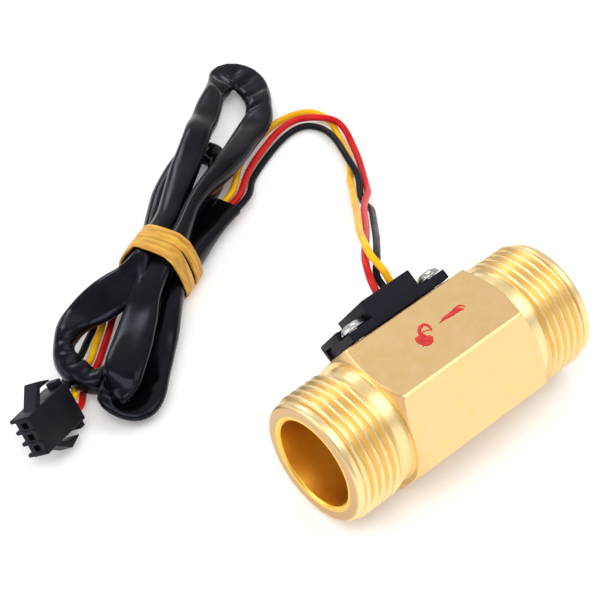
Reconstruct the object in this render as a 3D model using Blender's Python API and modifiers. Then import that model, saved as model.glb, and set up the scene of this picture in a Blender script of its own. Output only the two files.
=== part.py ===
"""Brass in-line water flow sensor with its three-wire lead.

Metres, +Z up. The pipe runs along X, and the hexagon rests on one flat whose middle is the origin.
Water enters at -X, passes a vaned guide that makes it swirl, turns a bladed rotor and leaves at +X. A
switch under the black cover counts the rotor's magnet. The lead goes from the cover to a black sleeve,
which lies beside the body as a hank in a rubber band and ends in a three-way plug.
"""

import math

import bmesh
import bpy
import numpy as np
from mathutils import Euler
from mathutils import Matrix
from mathutils import Vector

# Clearances
GAP = 0.0003  # between two pieces that touch
END_PLAY = 0.0003  # at each end of the rotor
PIN_CLEARANCE = 0.00006  # between the pin and the rotor's bore, on the radius
OVERCUT = 0.001  # how far a cutter runs past the face that it opens
SINK = 0.0003  # how far a vane or a rib runs into what carries it

# Brass body
HEX_WIDTH = 0.0270  # across flats
HEX_LENGTH = 0.0330
HEX_CHAMFER_ANGLE = math.radians(30)
HEX_CHAMFER_START = 0.99  # chamfer circle as a share of the inscribed circle
NECK_LENGTH = 0.0030
NECK_DROP = 0.0012  # from the flats down to the neck
NECK_RADIUS = HEX_WIDTH / 2 - NECK_DROP
THREAD_LENGTH = 0.0094
THREAD_RADIUS = 0.01322
THREAD_DEPTH = 0.00116
THREAD_PITCH = 0.001814
NOSE_LENGTH = 0.0019
NOSE_RADIUS = 0.0127
NOSE_EDGE = 0.0009
BORE_RADIUS = 0.0093
MOUTH_CHAMFER = 0.0004
SHOULDER_X = 0.0113
SHOULDER_LENGTH = 0.0027
SHOULDER_RADIUS = 0.0085
GROOVE_DEPTH = 0.0007

# Turbine
SUPPORT_LENGTH = 0.0024
SUPPORT_WALL = 0.0011
SUPPORT_HUB_RADIUS = 0.0022
SUPPORT_SPOKES = 4
SPOKE_WIDTH = 0.0011
WASHER_THICKNESS = 0.0004
WASHER_RADIUS = 0.0021
ROTOR_LENGTH = 0.0120
ROTOR_HUB_RADIUS = 0.0026
ROTOR_TIP_RADIUS = 0.0086
ROTOR_BLADES = 6
BLADE_START = 0.0005  # behind the rotor's front
BLADE_LENGTH = 0.0064
BLADE_TWIST = math.radians(36)
BLADE_THICKNESS = 0.0009
FLANGE_RADIUS = 0.0075
FLANGE_THICKNESS = 0.0008
MAGNET_RADIUS = 0.0072
MAGNET_LENGTH = 0.0032
PIN_RADIUS = 0.0010
PIN_SEAT = 0.0020
REAR_PIN_SEAT = 0.0018
GUIDE_LENGTH = 0.0070
GUIDE_WALL = 0.0011
GUIDE_HUB_RADIUS = 0.0030
GUIDE_NOSE = 0.0036
GUIDE_VANE_START = 0.0027  # behind the guide's front
GUIDE_VANE_LENGTH = 0.0034
GUIDE_VANES = 6
VANE_TWIST = math.radians(-34)
VANE_THICKNESS = 0.0009
RING_THICKNESS = 0.0010
RING_WALL = 0.0012
RING_OPENING = 0.0060

# Sensor cover, in the frame of the hexagon flat that carries it: X along the pipe, Z out of the flat
COVER_LEFT = -0.0123
COVER_RIGHT = 0.0126
COVER_NEAR = -0.0069
COVER_FAR = 0.0063
LEFT_EAR_HEIGHT = 0.0040
RIGHT_EAR_HEIGHT = 0.0027
BLOCK_HALF_LENGTH = 0.0062
BLOCK_HEIGHT = 0.0059
COVER_EDGE = 0.0005
COVER_WALL = 0.0010
COVER_ROOF = 0.0012
SCREW_X = (-0.0096, 0.0102)
SCREW_Y = -0.0042
SCREW_SEAT_HEIGHT = 0.0022
SCREW_SEAT_RADIUS = 0.0030
SCREW_SHANK_RADIUS = 0.0012
SCREW_LENGTH = 0.0058
SCREW_HEAD_RADIUS = 0.0026
SCREW_HEAD_HEIGHT = 0.0014
SCREW_HEAD_SHAPE = ((0.62, 0.1), (0.9, 0.38), (1.0, 0.7))  # shares of the radius and of the height down
SCREW_RECESS = 0.0026
SCREW_RECESS_WIDTH = 0.00055
SCREW_RECESS_DEPTH = 0.0008
END_NOTCH_WIDTH = 0.0030
END_NOTCH_HEIGHT = 0.0020
END_NOTCH_DEPTH = 0.0010
SLOT_WIDTH = 0.0022
LEAD_Y = -0.0020
LEAD_X = {"red": 0.0004, "black": 0.0023, "yellow": 0.0041}

# Circuit under the cover
BOARD_THICKNESS = 0.0010
POCKET_X = 0.0020
POCKET_LENGTH = 0.0072
POCKET_WIDTH = 0.0060
POCKET_DEPTH = 0.0026
HALL_WIDTH = 0.0041
HALL_HEIGHT = 0.0030
HALL_THICKNESS = 0.0015
HALL_LEG = 0.00045
HALL_LEG_PITCH = 0.00127
HALL_LEG_INSET = 0.00002  # keeps the turned-up end inside the leg's sides
CHIP_LENGTH = 0.0020
CHIP_WIDTH = 0.00125
CHIP_Y = {"resistor": -0.0030, "capacitor": 0.0012}
RESISTOR_HEIGHT = 0.0005
CAPACITOR_HEIGHT = 0.0009

# Lead
WIRE_DIAMETER = 0.0015
WIRE_GAP = 0.00024  # between the wires where they leave the sleeve
SLEEVE_DIAMETER = 0.0050
WIRE_SIDES = 6
SLEEVE_SIDES = 8
WIRE_SPACING = 0.0060  # between the rings of a straight stretch
WIRE_BEND_STEP = math.radians(24)
SLEEVE_SPACING = 0.0120
SLEEVE_BEND_STEP = math.radians(28)
LEAD_OUT = 0.0005  # from an end of the sleeve to where its wires start
BAND_WIDTH = 0.0060
BAND_THICKNESS = 0.0008
BAND_SIDES = 40
BAND_CENTRE = (-0.0138, 0.0655, 0.0068)
BAND_TURN = math.radians(26)

# Plug, in its own frame: X from the mating face to the wires, Y across the ways, Z out of the plain face
PLUG_PLACE = (-0.06444, 0.04652, 0.00682)
PLUG_ROLL = math.radians(54.8)
PLUG_PITCH = math.radians(15.0)
PLUG_YAW = math.radians(21.9)
PLUG_LENGTH = 0.0136
PLUG_WIDTH = 0.0084
PLUG_HEIGHT = 0.0040
PLUG_WAY_PITCH = 0.0025
PLUG_RIBS = 4
PLUG_RIB_HEIGHT = 0.0014
PLUG_RIB_WIDTH = 0.0008
PLUG_RIB_INSET = 0.00006  # of the outer ribs from the side walls
PLUG_WINDOW_START = 0.0012
PLUG_WINDOW_END = 0.0050
PLUG_WINDOW_DEPTH = 0.00045
CAVITY_WIDTH = 0.0019
CAVITY_HEIGHT = 0.0020
SOCKET_SIZE = 0.0013
SOCKET_DEPTH = 0.0010
PLUG_TAB = 0.0012
PLUG_TAB_LENGTH = 0.0016
ARM_FLARE = {"upper": 0.0039, "lower": 0.0026}
ARM_THICKNESS = 0.0011
ARM_ROOT = 0.0030  # from the mating face to where an arm leaves the wall
ARM_INNER_ROOT = 0.0044
ARM_KNEE = 0.0068
ARM_TIP = 0.0101
ARM_TIP_OUTER = 0.66  # shares of the flare
ARM_TIP_INNER = 0.58
ARM_KNEE_SHARE = 1.4  # of the thickness, along Y at the knee
CONTACT_BOX_LENGTH = 0.0050
CONTACT_BARREL_LENGTH = 0.0029
CONTACT_BARREL_SHARE = 0.8  # of the box's section
CONTACT_BORE = 0.0008
WIRE_STRAIGHT = 0.0010  # of each wire behind the plug

TURN_STEPS = 30  # round the body
SMALL_STEPS = 16  # round the small turned pieces
VANE_STEPS = 3
SHARP_ANGLE = math.radians(35)

AXIS_HEIGHT = HEX_WIDTH / 2

# Routes, in millimetres, read off the object as it lies
SLEEVE_ROUTE = [
    (9.1, 70.8, 2.8), (2.4, 68.8, 3.0), (-3.5, 65.9, 3.3), (-9.2, 62.6, 3.8), (-13.8, 60.1, 3.8),
    (-19.3, 55.8, 3.3), (-24.5, 51.1, 2.9), (-29.8, 46.6, 2.8), (-33.5, 42.5, 2.8), (-36.8, 40.2, 2.9),
    (-40.2, 40.0, 2.9), (-43.0, 42.5, 3.4), (-43.5, 44.5, 5.0), (-41.8, 44.5, 7.6), (-38.3, 46.8, 8.6),
    (-33.4, 50.7, 8.4), (-28.1, 54.8, 8.3), (-22.5, 58.2, 8.6), (-17.6, 60.8, 9.0), (-12.4, 63.0, 9.3),
    (-6.5, 66.2, 9.0), (0.1, 70.6, 8.5), (5.9, 73.5, 8.4), (12.7, 76.7, 8.0), (18.0, 79.5, 7.3),
    (23.9, 83.2, 5.5), (27.8, 85.4, 4.6), (31.4, 87.6, 3.9), (34.1, 90.3, 3.5), (36.3, 93.8, 3.2),
    (37.3, 98.8, 3.0), (36.3, 102.5, 3.0), (33.1, 102.2, 3.3), (29.5, 100.1, 3.8), (24.6, 96.6, 4.9),
    (20.5, 92.9, 5.9), (17.5, 90.6, 7.3), (14.6, 88.1, 8.2), (11.1, 85.3, 8.0), (5.8, 81.3, 8.3),
    (-0.6, 77.0, 8.4), (-6.7, 72.8, 8.7), (-13.4, 68.9, 9.4), (-17.5, 66.7, 9.5), (-21.4, 65.2, 9.2),
    (-25.2, 64.4, 8.7), (-29.2, 64.3, 8.1), (-32.9, 64.4, 6.9), (-36.6, 64.1, 6.0), (-39.6, 62.9, 5.6),
    (-42.5, 60.7, 5.4), (-44.7, 57.6, 5.4), (-44.7, 54.0, 5.2), (-42.9, 50.7, 4.4), (-39.1, 50.3, 3.6),
    (-35.5, 52.3, 3.1), (-32.4, 54.6, 3.0), (-29.1, 57.1, 3.0), (-24.8, 59.7, 3.2), (-20.5, 62.2, 3.5),
    (-15.8, 65.1, 3.6), (-10.0, 68.5, 3.5), (-3.8, 71.8, 3.1), (1.8, 74.6, 2.9), (8.3, 77.1, 2.8),
    (12.3, 79.3, 2.8), (15.4, 81.8, 2.8), (17.0, 85.4, 2.8), (15.3, 88.2, 2.7), (10.9, 88.0, 2.8),
    (5.4, 85.8, 2.8), (-0.4, 82.2, 2.8), (-5.4, 78.3, 3.0), (-10.7, 74.9, 3.4), (-16.5, 71.2, 3.9),
    (-21.9, 68.2, 3.7), (-26.2, 65.9, 3.2),
]
WIRE_ROUTES = {
    "yellow": [
        (4.1, 18.0, 26.9), (4.3, 21.3, 27.8), (5.5, 24.0, 27.3), (7.7, 27.4, 25.5),
        (11.3, 32.3, 22.0), (16.3, 38.2, 17.4), (21.3, 44.1, 12.7), (26.3, 50.1, 8.4), (30.6, 55.2, 4.9),
        (33.6, 59.2, 2.5), (35.8, 61.5, 1.2), (38.2, 64.1, 0.9), (40.6, 67.9, 0.9), (43.0, 73.4, 0.9),
        (44.6, 77.1, 0.9), (44.8, 80.0, 0.9), (43.7, 82.8, 0.9), (40.8, 84.7, 0.9), (37.9, 85.4, 0.9),
        (33.9, 85.3, 1.0), (29.6, 84.2, 1.2), (24.1, 81.9, 1.8), (19.7, 79.5, 2.3), (15.4, 76.0, 2.7),
        (12.2, 73.7, 2.8),
    ],
    "red": [
        (1.1, 18.4, 26.2), (2.8, 21.3, 26.4), (4.9, 24.0, 25.4), (9.0, 28.2, 22.7),
        (14.2, 33.6, 18.7), (19.5, 39.4, 14.4), (24.4, 45.0, 10.2), (27.1, 47.9, 8.2), (30.1, 50.1, 6.6),
        (32.3, 51.8, 4.6), (33.9, 53.8, 2.9), (35.7, 56.5, 1.7), (38.2, 60.1, 1.1), (41.2, 64.8, 0.9),
        (43.4, 69.2, 0.9), (44.6, 72.4, 1.5), (44.6, 75.2, 2.5), (43.6, 78.0, 2.4), (41.7, 80.8, 1.9),
        (39.1, 82.2, 2.0), (36.1, 82.5, 2.1), (32.2, 81.9, 2.1), (26.5, 79.9, 2.1), (21.5, 77.6, 2.4),
        (16.5, 74.4, 2.7), (13.2, 72.1, 2.8),
    ],
    "black": [
        (3.1, 18.7, 25.4), (5.5, 21.3, 25.3), (8.1, 24.0, 24.1), (12.1, 28.3, 21.4),
        (17.0, 33.8, 17.1), (22.1, 39.7, 12.5), (26.3, 44.6, 8.8), (28.4, 47.6, 6.3), (29.5, 50.1, 4.8),
        (31.0, 53.0, 4.0), (33.9, 56.5, 3.2), (35.9, 59.3, 2.9), (37.9, 64.4, 2.8), (40.3, 70.4, 2.2),
        (41.5, 74.7, 1.5), (41.5, 77.6, 1.0), (39.9, 80.1, 0.9), (36.6, 81.0, 0.9), (33.1, 80.6, 0.9),
        (27.4, 78.8, 0.9), (21.9, 76.5, 0.9), (18.9, 74.7, 1.1), (16.1, 72.0, 2.0), (13.2, 70.2, 2.7),
    ],
}
TAIL_ROUTES = {
    "yellow": [
        (-29.3, 64.7, 2.7), (-32.0, 62.7, 2.1), (-35.7, 60.3, 1.2), (-38.5, 58.2, 0.9), (-42.5, 56.2, 0.9),
        (-45.0, 54.7, 1.3), (-46.9, 52.5, 2.2), (-48.4, 50.1, 4.2),
    ],
    "red": [
        (-28.2, 63.7, 1.5), (-30.6, 62.0, 0.9), (-35.3, 58.3, 0.9), (-39.0, 55.7, 0.9), (-43.0, 53.7, 0.9),
        (-45.7, 51.5, 1.2), (-47.9, 49.0, 2.2),
    ],
    "black": [
        (-30.2, 66.3, 2.3), (-32.9, 64.2, 1.4), (-35.9, 62.5, 0.9), (-39.6, 60.1, 1.0), (-44.1, 57.9, 1.4),
        (-46.5, 56.2, 1.8), (-48.4, 53.8, 3.3), (-48.6, 52.0, 5.6),
    ],
}
MOUTH_ORDER = {"yellow": 1, "red": 0, "black": -1}  # places across the sleeve's mouth, near the cover
TAIL_ORDER = {"yellow": 0, "red": 1, "black": -1}  # places across the sleeve's hidden end
WAY_ORDER = {"black": 1, "yellow": 0, "red": -1}  # ways of the plug, along its Y

COLOURS = {
    "brass": ("#D9AE62", 0.3, 1.0),
    "black_plastic": ("#26262B", 0.45, 0.0),
    "steel": ("#B8B6B0", 0.3, 1.0),
    "board_green": ("#1F6B3A", 0.5, 0.0),
    "epoxy_black": ("#1C1C1E", 0.5, 0.0),
    "chip_tan": ("#A98A66", 0.5, 0.0),
    "wire_red": ("#F03A35", 0.4, 0.0),
    "wire_yellow": ("#FFC91E", 0.4, 0.0),
    "wire_black": ("#17171A", 0.4, 0.0),
    "sleeve_black": ("#1E1E22", 0.25, 0.0),
    "band_amber": ("#EFB040", 0.5, 0.0),
    "white_plastic": ("#E8E8E2", 0.45, 0.0),
    "magnet_grey": ("#3A3A3C", 0.6, 0.3),
    "tin": ("#C9C6BC", 0.3, 1.0),
}


def linear(hex_colour):
    """Turns an sRGB hex colour into the linear values that a shader takes."""
    values = [int(hex_colour[i:i + 2], 16) / 255 for i in (1, 3, 5)]
    return [v / 12.92 if v <= 0.04045 else ((v + 0.055) / 1.055) ** 2.4 for v in values]


def make_materials():
    """Makes one Principled material for each colour."""
    made = {}
    for name, (colour, roughness, metallic) in COLOURS.items():
        material = bpy.data.materials.new(name)
        material.use_nodes = True
        shader = material.node_tree.nodes["Principled BSDF"]
        shader.inputs["Base Color"].default_value = (*linear(colour), 1)
        shader.inputs["Roughness"].default_value = roughness
        shader.inputs["Metallic"].default_value = metallic
        made[name] = material
    return made


for thing in list(bpy.data.objects):
    bpy.data.objects.remove(thing, do_unlink=True)

parts = bpy.data.collections.new("water_flow_sensor")
cutters = bpy.data.collections.new("cutters")
bpy.context.scene.collection.children.link(parts)
bpy.context.scene.collection.children.link(cutters)
materials = make_materials()


def add_object(name, data, material=None, parent=None):
    """Adds a part, or a cutter where no material is given, under an empty."""
    thing = bpy.data.objects.new(name, data)
    thing.parent = parent
    if material is None:
        cutters.objects.link(thing)
        thing.hide_render = True
        thing.display_type = "WIRE"
    else:
        parts.objects.link(thing)
        data.materials.append(materials[material])
    return thing


def add_empty(name, matrix):
    """Adds an empty that carries a group of parts in its own frame."""
    empty = bpy.data.objects.new(name, None)
    parts.objects.link(empty)
    empty.location = matrix.to_translation()
    empty.rotation_euler = matrix.to_euler()
    return empty


def finish_mesh(name, bm, smooth=False):
    """Writes a bmesh to a new mesh with its faces pointing out."""
    bmesh.ops.recalc_face_normals(bm, faces=bm.faces)
    mesh = bpy.data.meshes.new(name)
    bm.to_mesh(mesh)
    bm.free()
    if smooth:
        mesh.shade_smooth()
        mesh.set_sharp_from_angle(angle=SHARP_ANGLE)
    return mesh


def box(name, low, high, material=None, parent=None, edge=0, segments=1):
    """A box between two corners, with its edges bevelled where an edge width is given."""
    bm = bmesh.new()
    bmesh.ops.create_cube(bm, size=1)
    size = Vector(high) - Vector(low)
    bmesh.ops.scale(bm, verts=bm.verts, vec=size)
    bmesh.ops.translate(bm, verts=bm.verts, vec=Vector(low) + size / 2)
    thing = add_object(name, finish_mesh(name, bm), material, parent)
    if edge:
        bevel = thing.modifiers.new("rounded edges", "BEVEL")
        bevel.width = edge
        bevel.segments = segments
    return thing


def cylinder(name, radius, low, high, x=0, y=0, material=None, parent=None, segments=SMALL_STEPS):
    """A cylinder along local Z between two heights."""
    bm = bmesh.new()
    size = {"radius1": radius, "radius2": radius, "depth": high - low}
    bmesh.ops.create_cone(bm, cap_ends=True, segments=segments, **size)
    bmesh.ops.translate(bm, verts=bm.verts, vec=(x, y, (low + high) / 2))
    return add_object(name, finish_mesh(name, bm, smooth=True), material, parent)


def turned(name, profile, material=None, parent=None, steps=SMALL_STEPS, closed=False):
    """A turned solid: (radius, height) pairs that run down the outer side, screwed once round local Z."""
    mesh = bpy.data.meshes.new(name)
    links = [(i, i + 1) for i in range(len(profile) - 1)]
    if closed:
        links.append((len(profile) - 1, 0))
    mesh.from_pydata([(radius, 0, height) for radius, height in profile], links, [])
    thing = add_object(name, mesh, material, parent)
    screw = thing.modifiers.new("turning", "SCREW")
    screw.axis = "Z"
    screw.steps = steps
    screw.render_steps = steps
    screw.use_merge_vertices = True
    screw.merge_threshold = 0.000001
    screw.use_smooth_shade = True
    return thing


def ring_profile(outer, inner, low, high):
    """The section of a plain ring, down its outer side and back up its inner side."""
    return [(outer, high), (outer, low), (inner, low), (inner, high)]


def combine(thing, other, operation):
    """Joins, cuts or trims one solid with another through a Boolean modifier."""
    modifier = thing.modifiers.new(operation.lower() + " " + other.name, "BOOLEAN")
    modifier.operation = operation
    modifier.object = other
    return modifier


def vane(name, inner, outer, low, length, twist, thickness, turn, parent):
    """A twisted blade: a radial edge screwed part of a turn along local Z, then given its thickness."""
    mesh = bpy.data.meshes.new(name)
    mesh.from_pydata([(outer, 0, low), (inner, 0, low)], [(0, 1)], [])
    thing = add_object(name, mesh, None, parent)
    thing.rotation_euler = (0, 0, turn)
    screw = thing.modifiers.new("twist", "SCREW")
    screw.axis = "Z"
    screw.angle = twist
    screw.screw_offset = length
    screw.steps = VANE_STEPS
    screw.render_steps = VANE_STEPS
    screw.use_merge_vertices = False
    solid = thing.modifiers.new("thickness", "SOLIDIFY")
    solid.thickness = thickness
    solid.offset = 0
    return thing


def plate(name, outlines, low, high, material=None, parent=None):
    """A flat plate with one or more closed outlines in local XY, from one height to another."""
    curve = bpy.data.curves.new(name + " outline", "CURVE")
    curve.dimensions = "2D"
    curve.fill_mode = "BOTH"
    curve.extrude = (high - low) / 2
    for outline in outlines:
        spline = curve.splines.new("POLY")
        spline.points.add(len(outline) - 1)
        for point, (x, y) in zip(spline.points, outline):
            point.co = (x, y, 0, 1)
        spline.use_cyclic_u = True
    drawn = bpy.data.objects.new(name + " outline", curve)
    cutters.objects.link(drawn)
    bpy.context.view_layer.update()
    mesh = bpy.data.meshes.new_from_object(drawn.evaluated_get(bpy.context.evaluated_depsgraph_get()))
    bpy.data.objects.remove(drawn, do_unlink=True)
    bpy.data.curves.remove(curve)
    bm = bmesh.new()
    bm.from_mesh(mesh)
    bpy.data.meshes.remove(mesh)
    bmesh.ops.remove_doubles(bm, verts=bm.verts, dist=0.000001)
    if len(outlines) == 1:
        bmesh.ops.dissolve_limit(bm, angle_limit=math.radians(1), verts=bm.verts, edges=bm.edges)
    bmesh.ops.translate(bm, verts=bm.verts, vec=(0, 0, (low + high) / 2))
    return add_object(name, finish_mesh(name, bm), material, parent)


def smooth_route(points, per_span=12):
    """A natural cubic curve through the points, in metres, spaced by the chord to the power 0.75."""
    points = np.array(points, dtype=float)
    chords = np.linalg.norm(np.diff(points, axis=0), axis=1) ** 0.75
    count = len(points)
    system = np.zeros((count, count))
    right = np.zeros((count, 3))
    system[0, :2] = (2, 1)
    right[0] = 3 * (points[1] - points[0]) / chords[0]
    system[-1, -2:] = (1, 2)
    right[-1] = 3 * (points[-1] - points[-2]) / chords[-1]
    for i in range(1, count - 1):
        before = 1 / chords[i - 1]
        after = 1 / chords[i]
        system[i, i - 1:i + 2] = (before, 2 * (before + after), after)
        right[i] = 3 * ((points[i] - points[i - 1]) * before ** 2 + (points[i + 1] - points[i]) * after ** 2)
    slopes = np.linalg.solve(system, right)
    s = np.linspace(0, 1, per_span, endpoint=False)[:, None]
    spans = []
    for i in range(count - 1):
        start = (2 * s**3 - 3 * s**2 + 1) * points[i] + (s**3 - 2 * s**2 + s) * chords[i] * slopes[i]
        end = (3 * s**2 - 2 * s**3) * points[i + 1] + (s**3 - s**2) * chords[i] * slopes[i + 1]
        spans.append(start + end)
    spans.append(points[-1:])
    return np.concatenate(spans)


def spread(curve, spacing, bend_step):
    """Points along a curve: one for each spacing, and more where it bends."""
    steps = np.diff(curve, axis=0)
    lengths = np.linalg.norm(steps, axis=1)
    headings = steps / lengths[:, None]
    turns = np.arccos(np.clip((headings[1:] * headings[:-1]).sum(axis=1), -1, 1))
    weights = lengths / spacing + np.append(turns, 0) / bend_step
    reach = np.concatenate([[0], np.cumsum(weights)])
    marks = np.linspace(0, reach[-1], math.ceil(reach[-1]) + 1)
    return np.stack([np.interp(marks, reach, curve[:, k]) for k in range(3)], axis=1)


def tube(name, points, diameter, material, sides=WIRE_SIDES):
    """A cord as a round tube along the points, with closed ends."""
    curve = bpy.data.curves.new(name, "CURVE")
    curve.dimensions = "3D"
    curve.bevel_depth = diameter / 2
    curve.bevel_resolution = sides // 2 - 2
    curve.use_fill_caps = True
    spline = curve.splines.new("POLY")
    spline.points.add(len(points) - 1)
    for point, place in zip(spline.points, points):
        point.co = (*place, 1)
    spline.use_smooth = True
    return add_object(name, curve, material)


# The frames that carry the parts
PIPE = add_empty("pipe_axis", Matrix.Translation((0, 0, AXIS_HEIGHT)) @ Matrix.Rotation(math.pi / 2, 4, "Y"))
FLAT_LEAN = math.radians(60)
FLAT_NORMAL = Vector((0, math.sin(FLAT_LEAN), math.cos(FLAT_LEAN)))
FLAT_MIDDLE = Vector((0, 0, AXIS_HEIGHT)) + FLAT_NORMAL * AXIS_HEIGHT
SEAT_MATRIX = Matrix.Translation(FLAT_MIDDLE) @ Matrix.Rotation(-FLAT_LEAN, 4, "X")
SEAT = add_empty("cover_seat", SEAT_MATRIX)
PLUG_MATRIX = Matrix.Translation(PLUG_PLACE) @ Euler((PLUG_ROLL, PLUG_PITCH, PLUG_YAW)).to_matrix().to_4x4()
PLUG = add_empty("plug_frame", PLUG_MATRIX)

# Places along the pipe, worked out from the shoulder that the turbine is pushed against
HEX_END = HEX_LENGTH / 2
THREAD_START = HEX_END + NECK_LENGTH
THREAD_END = THREAD_START + THREAD_LENGTH
PIPE_END = THREAD_END + NOSE_LENGTH
SUPPORT_BACK = SHOULDER_X - GAP
SUPPORT_FRONT = SUPPORT_BACK - SUPPORT_LENGTH
REAR_WASHER_FRONT = SUPPORT_FRONT - GAP - WASHER_THICKNESS
ROTOR_BACK = REAR_WASHER_FRONT - END_PLAY
ROTOR_FRONT = ROTOR_BACK - ROTOR_LENGTH
FRONT_WASHER_FRONT = ROTOR_FRONT - END_PLAY - WASHER_THICKNESS
GUIDE_BACK = FRONT_WASHER_FRONT - GAP
GUIDE_FRONT = GUIDE_BACK - GUIDE_LENGTH
RING_BACK = GUIDE_FRONT - GAP
RING_FRONT = RING_BACK - RING_THICKNESS
GROOVE_BACK = RING_BACK + GAP
GROOVE_FRONT = RING_FRONT - GAP
SEAT_HOLE_RADIUS = PIN_RADIUS + GAP
COVER_BASE = GAP
BOARD_BASE = GAP
BOARD_TOP = BOARD_BASE + BOARD_THICKNESS
CHIP_BASE = BOARD_TOP + GAP
HEAD_BASE = SCREW_SEAT_HEIGHT + GAP
SCREW_TIP = HEAD_BASE - SCREW_LENGTH
CAVITY_HALF_LENGTH = BLOCK_HALF_LENGTH - COVER_WALL
CAVITY_NEAR = COVER_NEAR + COVER_WALL
CAVITY_FAR = COVER_FAR - COVER_WALL
CAVITY_TOP = BLOCK_HEIGHT - COVER_ROOF


def thread_ridges(start, end):
    """Profile points of the thread's ridges between two places along the pipe, as turned rings."""
    count = int(abs(end - start) / THREAD_PITCH)
    middle = (start + end) / 2
    way = math.copysign(1, end - start)
    root = THREAD_RADIUS - THREAD_DEPTH
    points = []
    for i in range(count):
        crest = middle + way * (i - (count - 1) / 2) * THREAD_PITCH
        points.append((root, crest - way * THREAD_PITCH / 2))
        points.append((THREAD_RADIUS, crest - way * THREAD_PITCH / 14))
        points.append((THREAD_RADIUS, crest + way * THREAD_PITCH / 14))
    points.append((root, points[-1][1] + way * THREAD_PITCH * 3 / 7))
    return points


def body_profile():
    """The outside of the turned bar: noses, threads and necks, from the outlet end to the inlet end."""
    nose = []
    for i in range(4):
        angle = math.pi / 2 * i / 3
        radius = NOSE_RADIUS - NOSE_EDGE * (1 - math.sin(angle))
        nose.append((radius, PIPE_END - NOSE_EDGE * (1 - math.cos(angle))))
    half = [(0, PIPE_END)] + nose + [(NOSE_RADIUS, THREAD_END)] + thread_ridges(THREAD_END, THREAD_START)
    half += [(THREAD_RADIUS - THREAD_DEPTH, THREAD_START), (NECK_RADIUS, THREAD_START - THREAD_PITCH / 8)]
    return half + [(radius, -x) for radius, x in reversed(half)]


def bore_profile():
    """The bore from the outlet to the inlet: mouths, shoulder and the groove of the retaining ring."""
    mouth = [(BORE_RADIUS + MOUTH_CHAMFER, PIPE_END), (BORE_RADIUS, PIPE_END - MOUTH_CHAMFER)]
    profile = [(0, PIPE_END + OVERCUT), (BORE_RADIUS + MOUTH_CHAMFER, PIPE_END + OVERCUT)] + mouth
    profile += [(BORE_RADIUS, SHOULDER_X + SHOULDER_LENGTH), (SHOULDER_RADIUS, SHOULDER_X + SHOULDER_LENGTH)]
    profile += [(SHOULDER_RADIUS, SHOULDER_X), (BORE_RADIUS, SHOULDER_X)]
    profile += [(BORE_RADIUS, GROOVE_BACK), (BORE_RADIUS + GROOVE_DEPTH, GROOVE_BACK)]
    profile += [(BORE_RADIUS + GROOVE_DEPTH, GROOVE_FRONT), (BORE_RADIUS, GROOVE_FRONT)]
    profile += [(radius, -x) for radius, x in reversed(mouth)]
    return profile + [(BORE_RADIUS + MOUTH_CHAMFER, -PIPE_END - OVERCUT), (0, -PIPE_END - OVERCUT)]


def make_body():
    """The brass body: a turned bar joined with a chamfered hexagon, bored, and milled on the cover's flat."""
    body = turned("brass_body", body_profile(), "brass", PIPE, TURN_STEPS)
    bm = bmesh.new()
    corner = HEX_WIDTH / math.sqrt(3)
    bmesh.ops.create_cone(bm, cap_ends=True, segments=6, radius1=corner, radius2=corner, depth=HEX_LENGTH)
    hexagon = add_object("hexagon", finish_mesh("hexagon", bm), None, PIPE)
    start = HEX_WIDTH / 2 * HEX_CHAMFER_START
    reach = corner + OVERCUT
    drop = (reach - start) * math.tan(HEX_CHAMFER_ANGLE)
    past = OVERCUT / math.tan(HEX_CHAMFER_ANGLE)
    cone = [(0, HEX_END + OVERCUT), (start - past, HEX_END + OVERCUT), (reach, HEX_END - drop)]
    cone += [(radius, -height) for radius, height in reversed(cone)]
    combine(hexagon, turned("hexagon chamfers", cone, None, PIPE, TURN_STEPS), "INTERSECT")
    combine(body, hexagon, "UNION")
    combine(body, turned("bore", bore_profile(), None, PIPE, TURN_STEPS), "DIFFERENCE")
    half = (POCKET_LENGTH / 2, POCKET_WIDTH / 2)
    low = (POCKET_X - half[0], -half[1], -POCKET_DEPTH)
    high = (POCKET_X + half[0], half[1], OVERCUT)
    combine(body, box("sensor pocket", low, high, None, SEAT), "DIFFERENCE")
    for i, x in enumerate(SCREW_X):
        tip = SCREW_TIP - GAP
        hole = cylinder(f"tapped hole {i}", SCREW_SHANK_RADIUS + GAP, tip, OVERCUT, x, SCREW_Y, None, SEAT)
        combine(body, hole, "DIFFERENCE")


def arc(x, y, radius, start, end, steps=8):
    """Points along an arc, from one angle to another."""
    angles = [start + (end - start) * i / steps for i in range(steps + 1)]
    return [(x + radius * math.cos(angle), y + radius * math.sin(angle)) for angle in angles]


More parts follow.
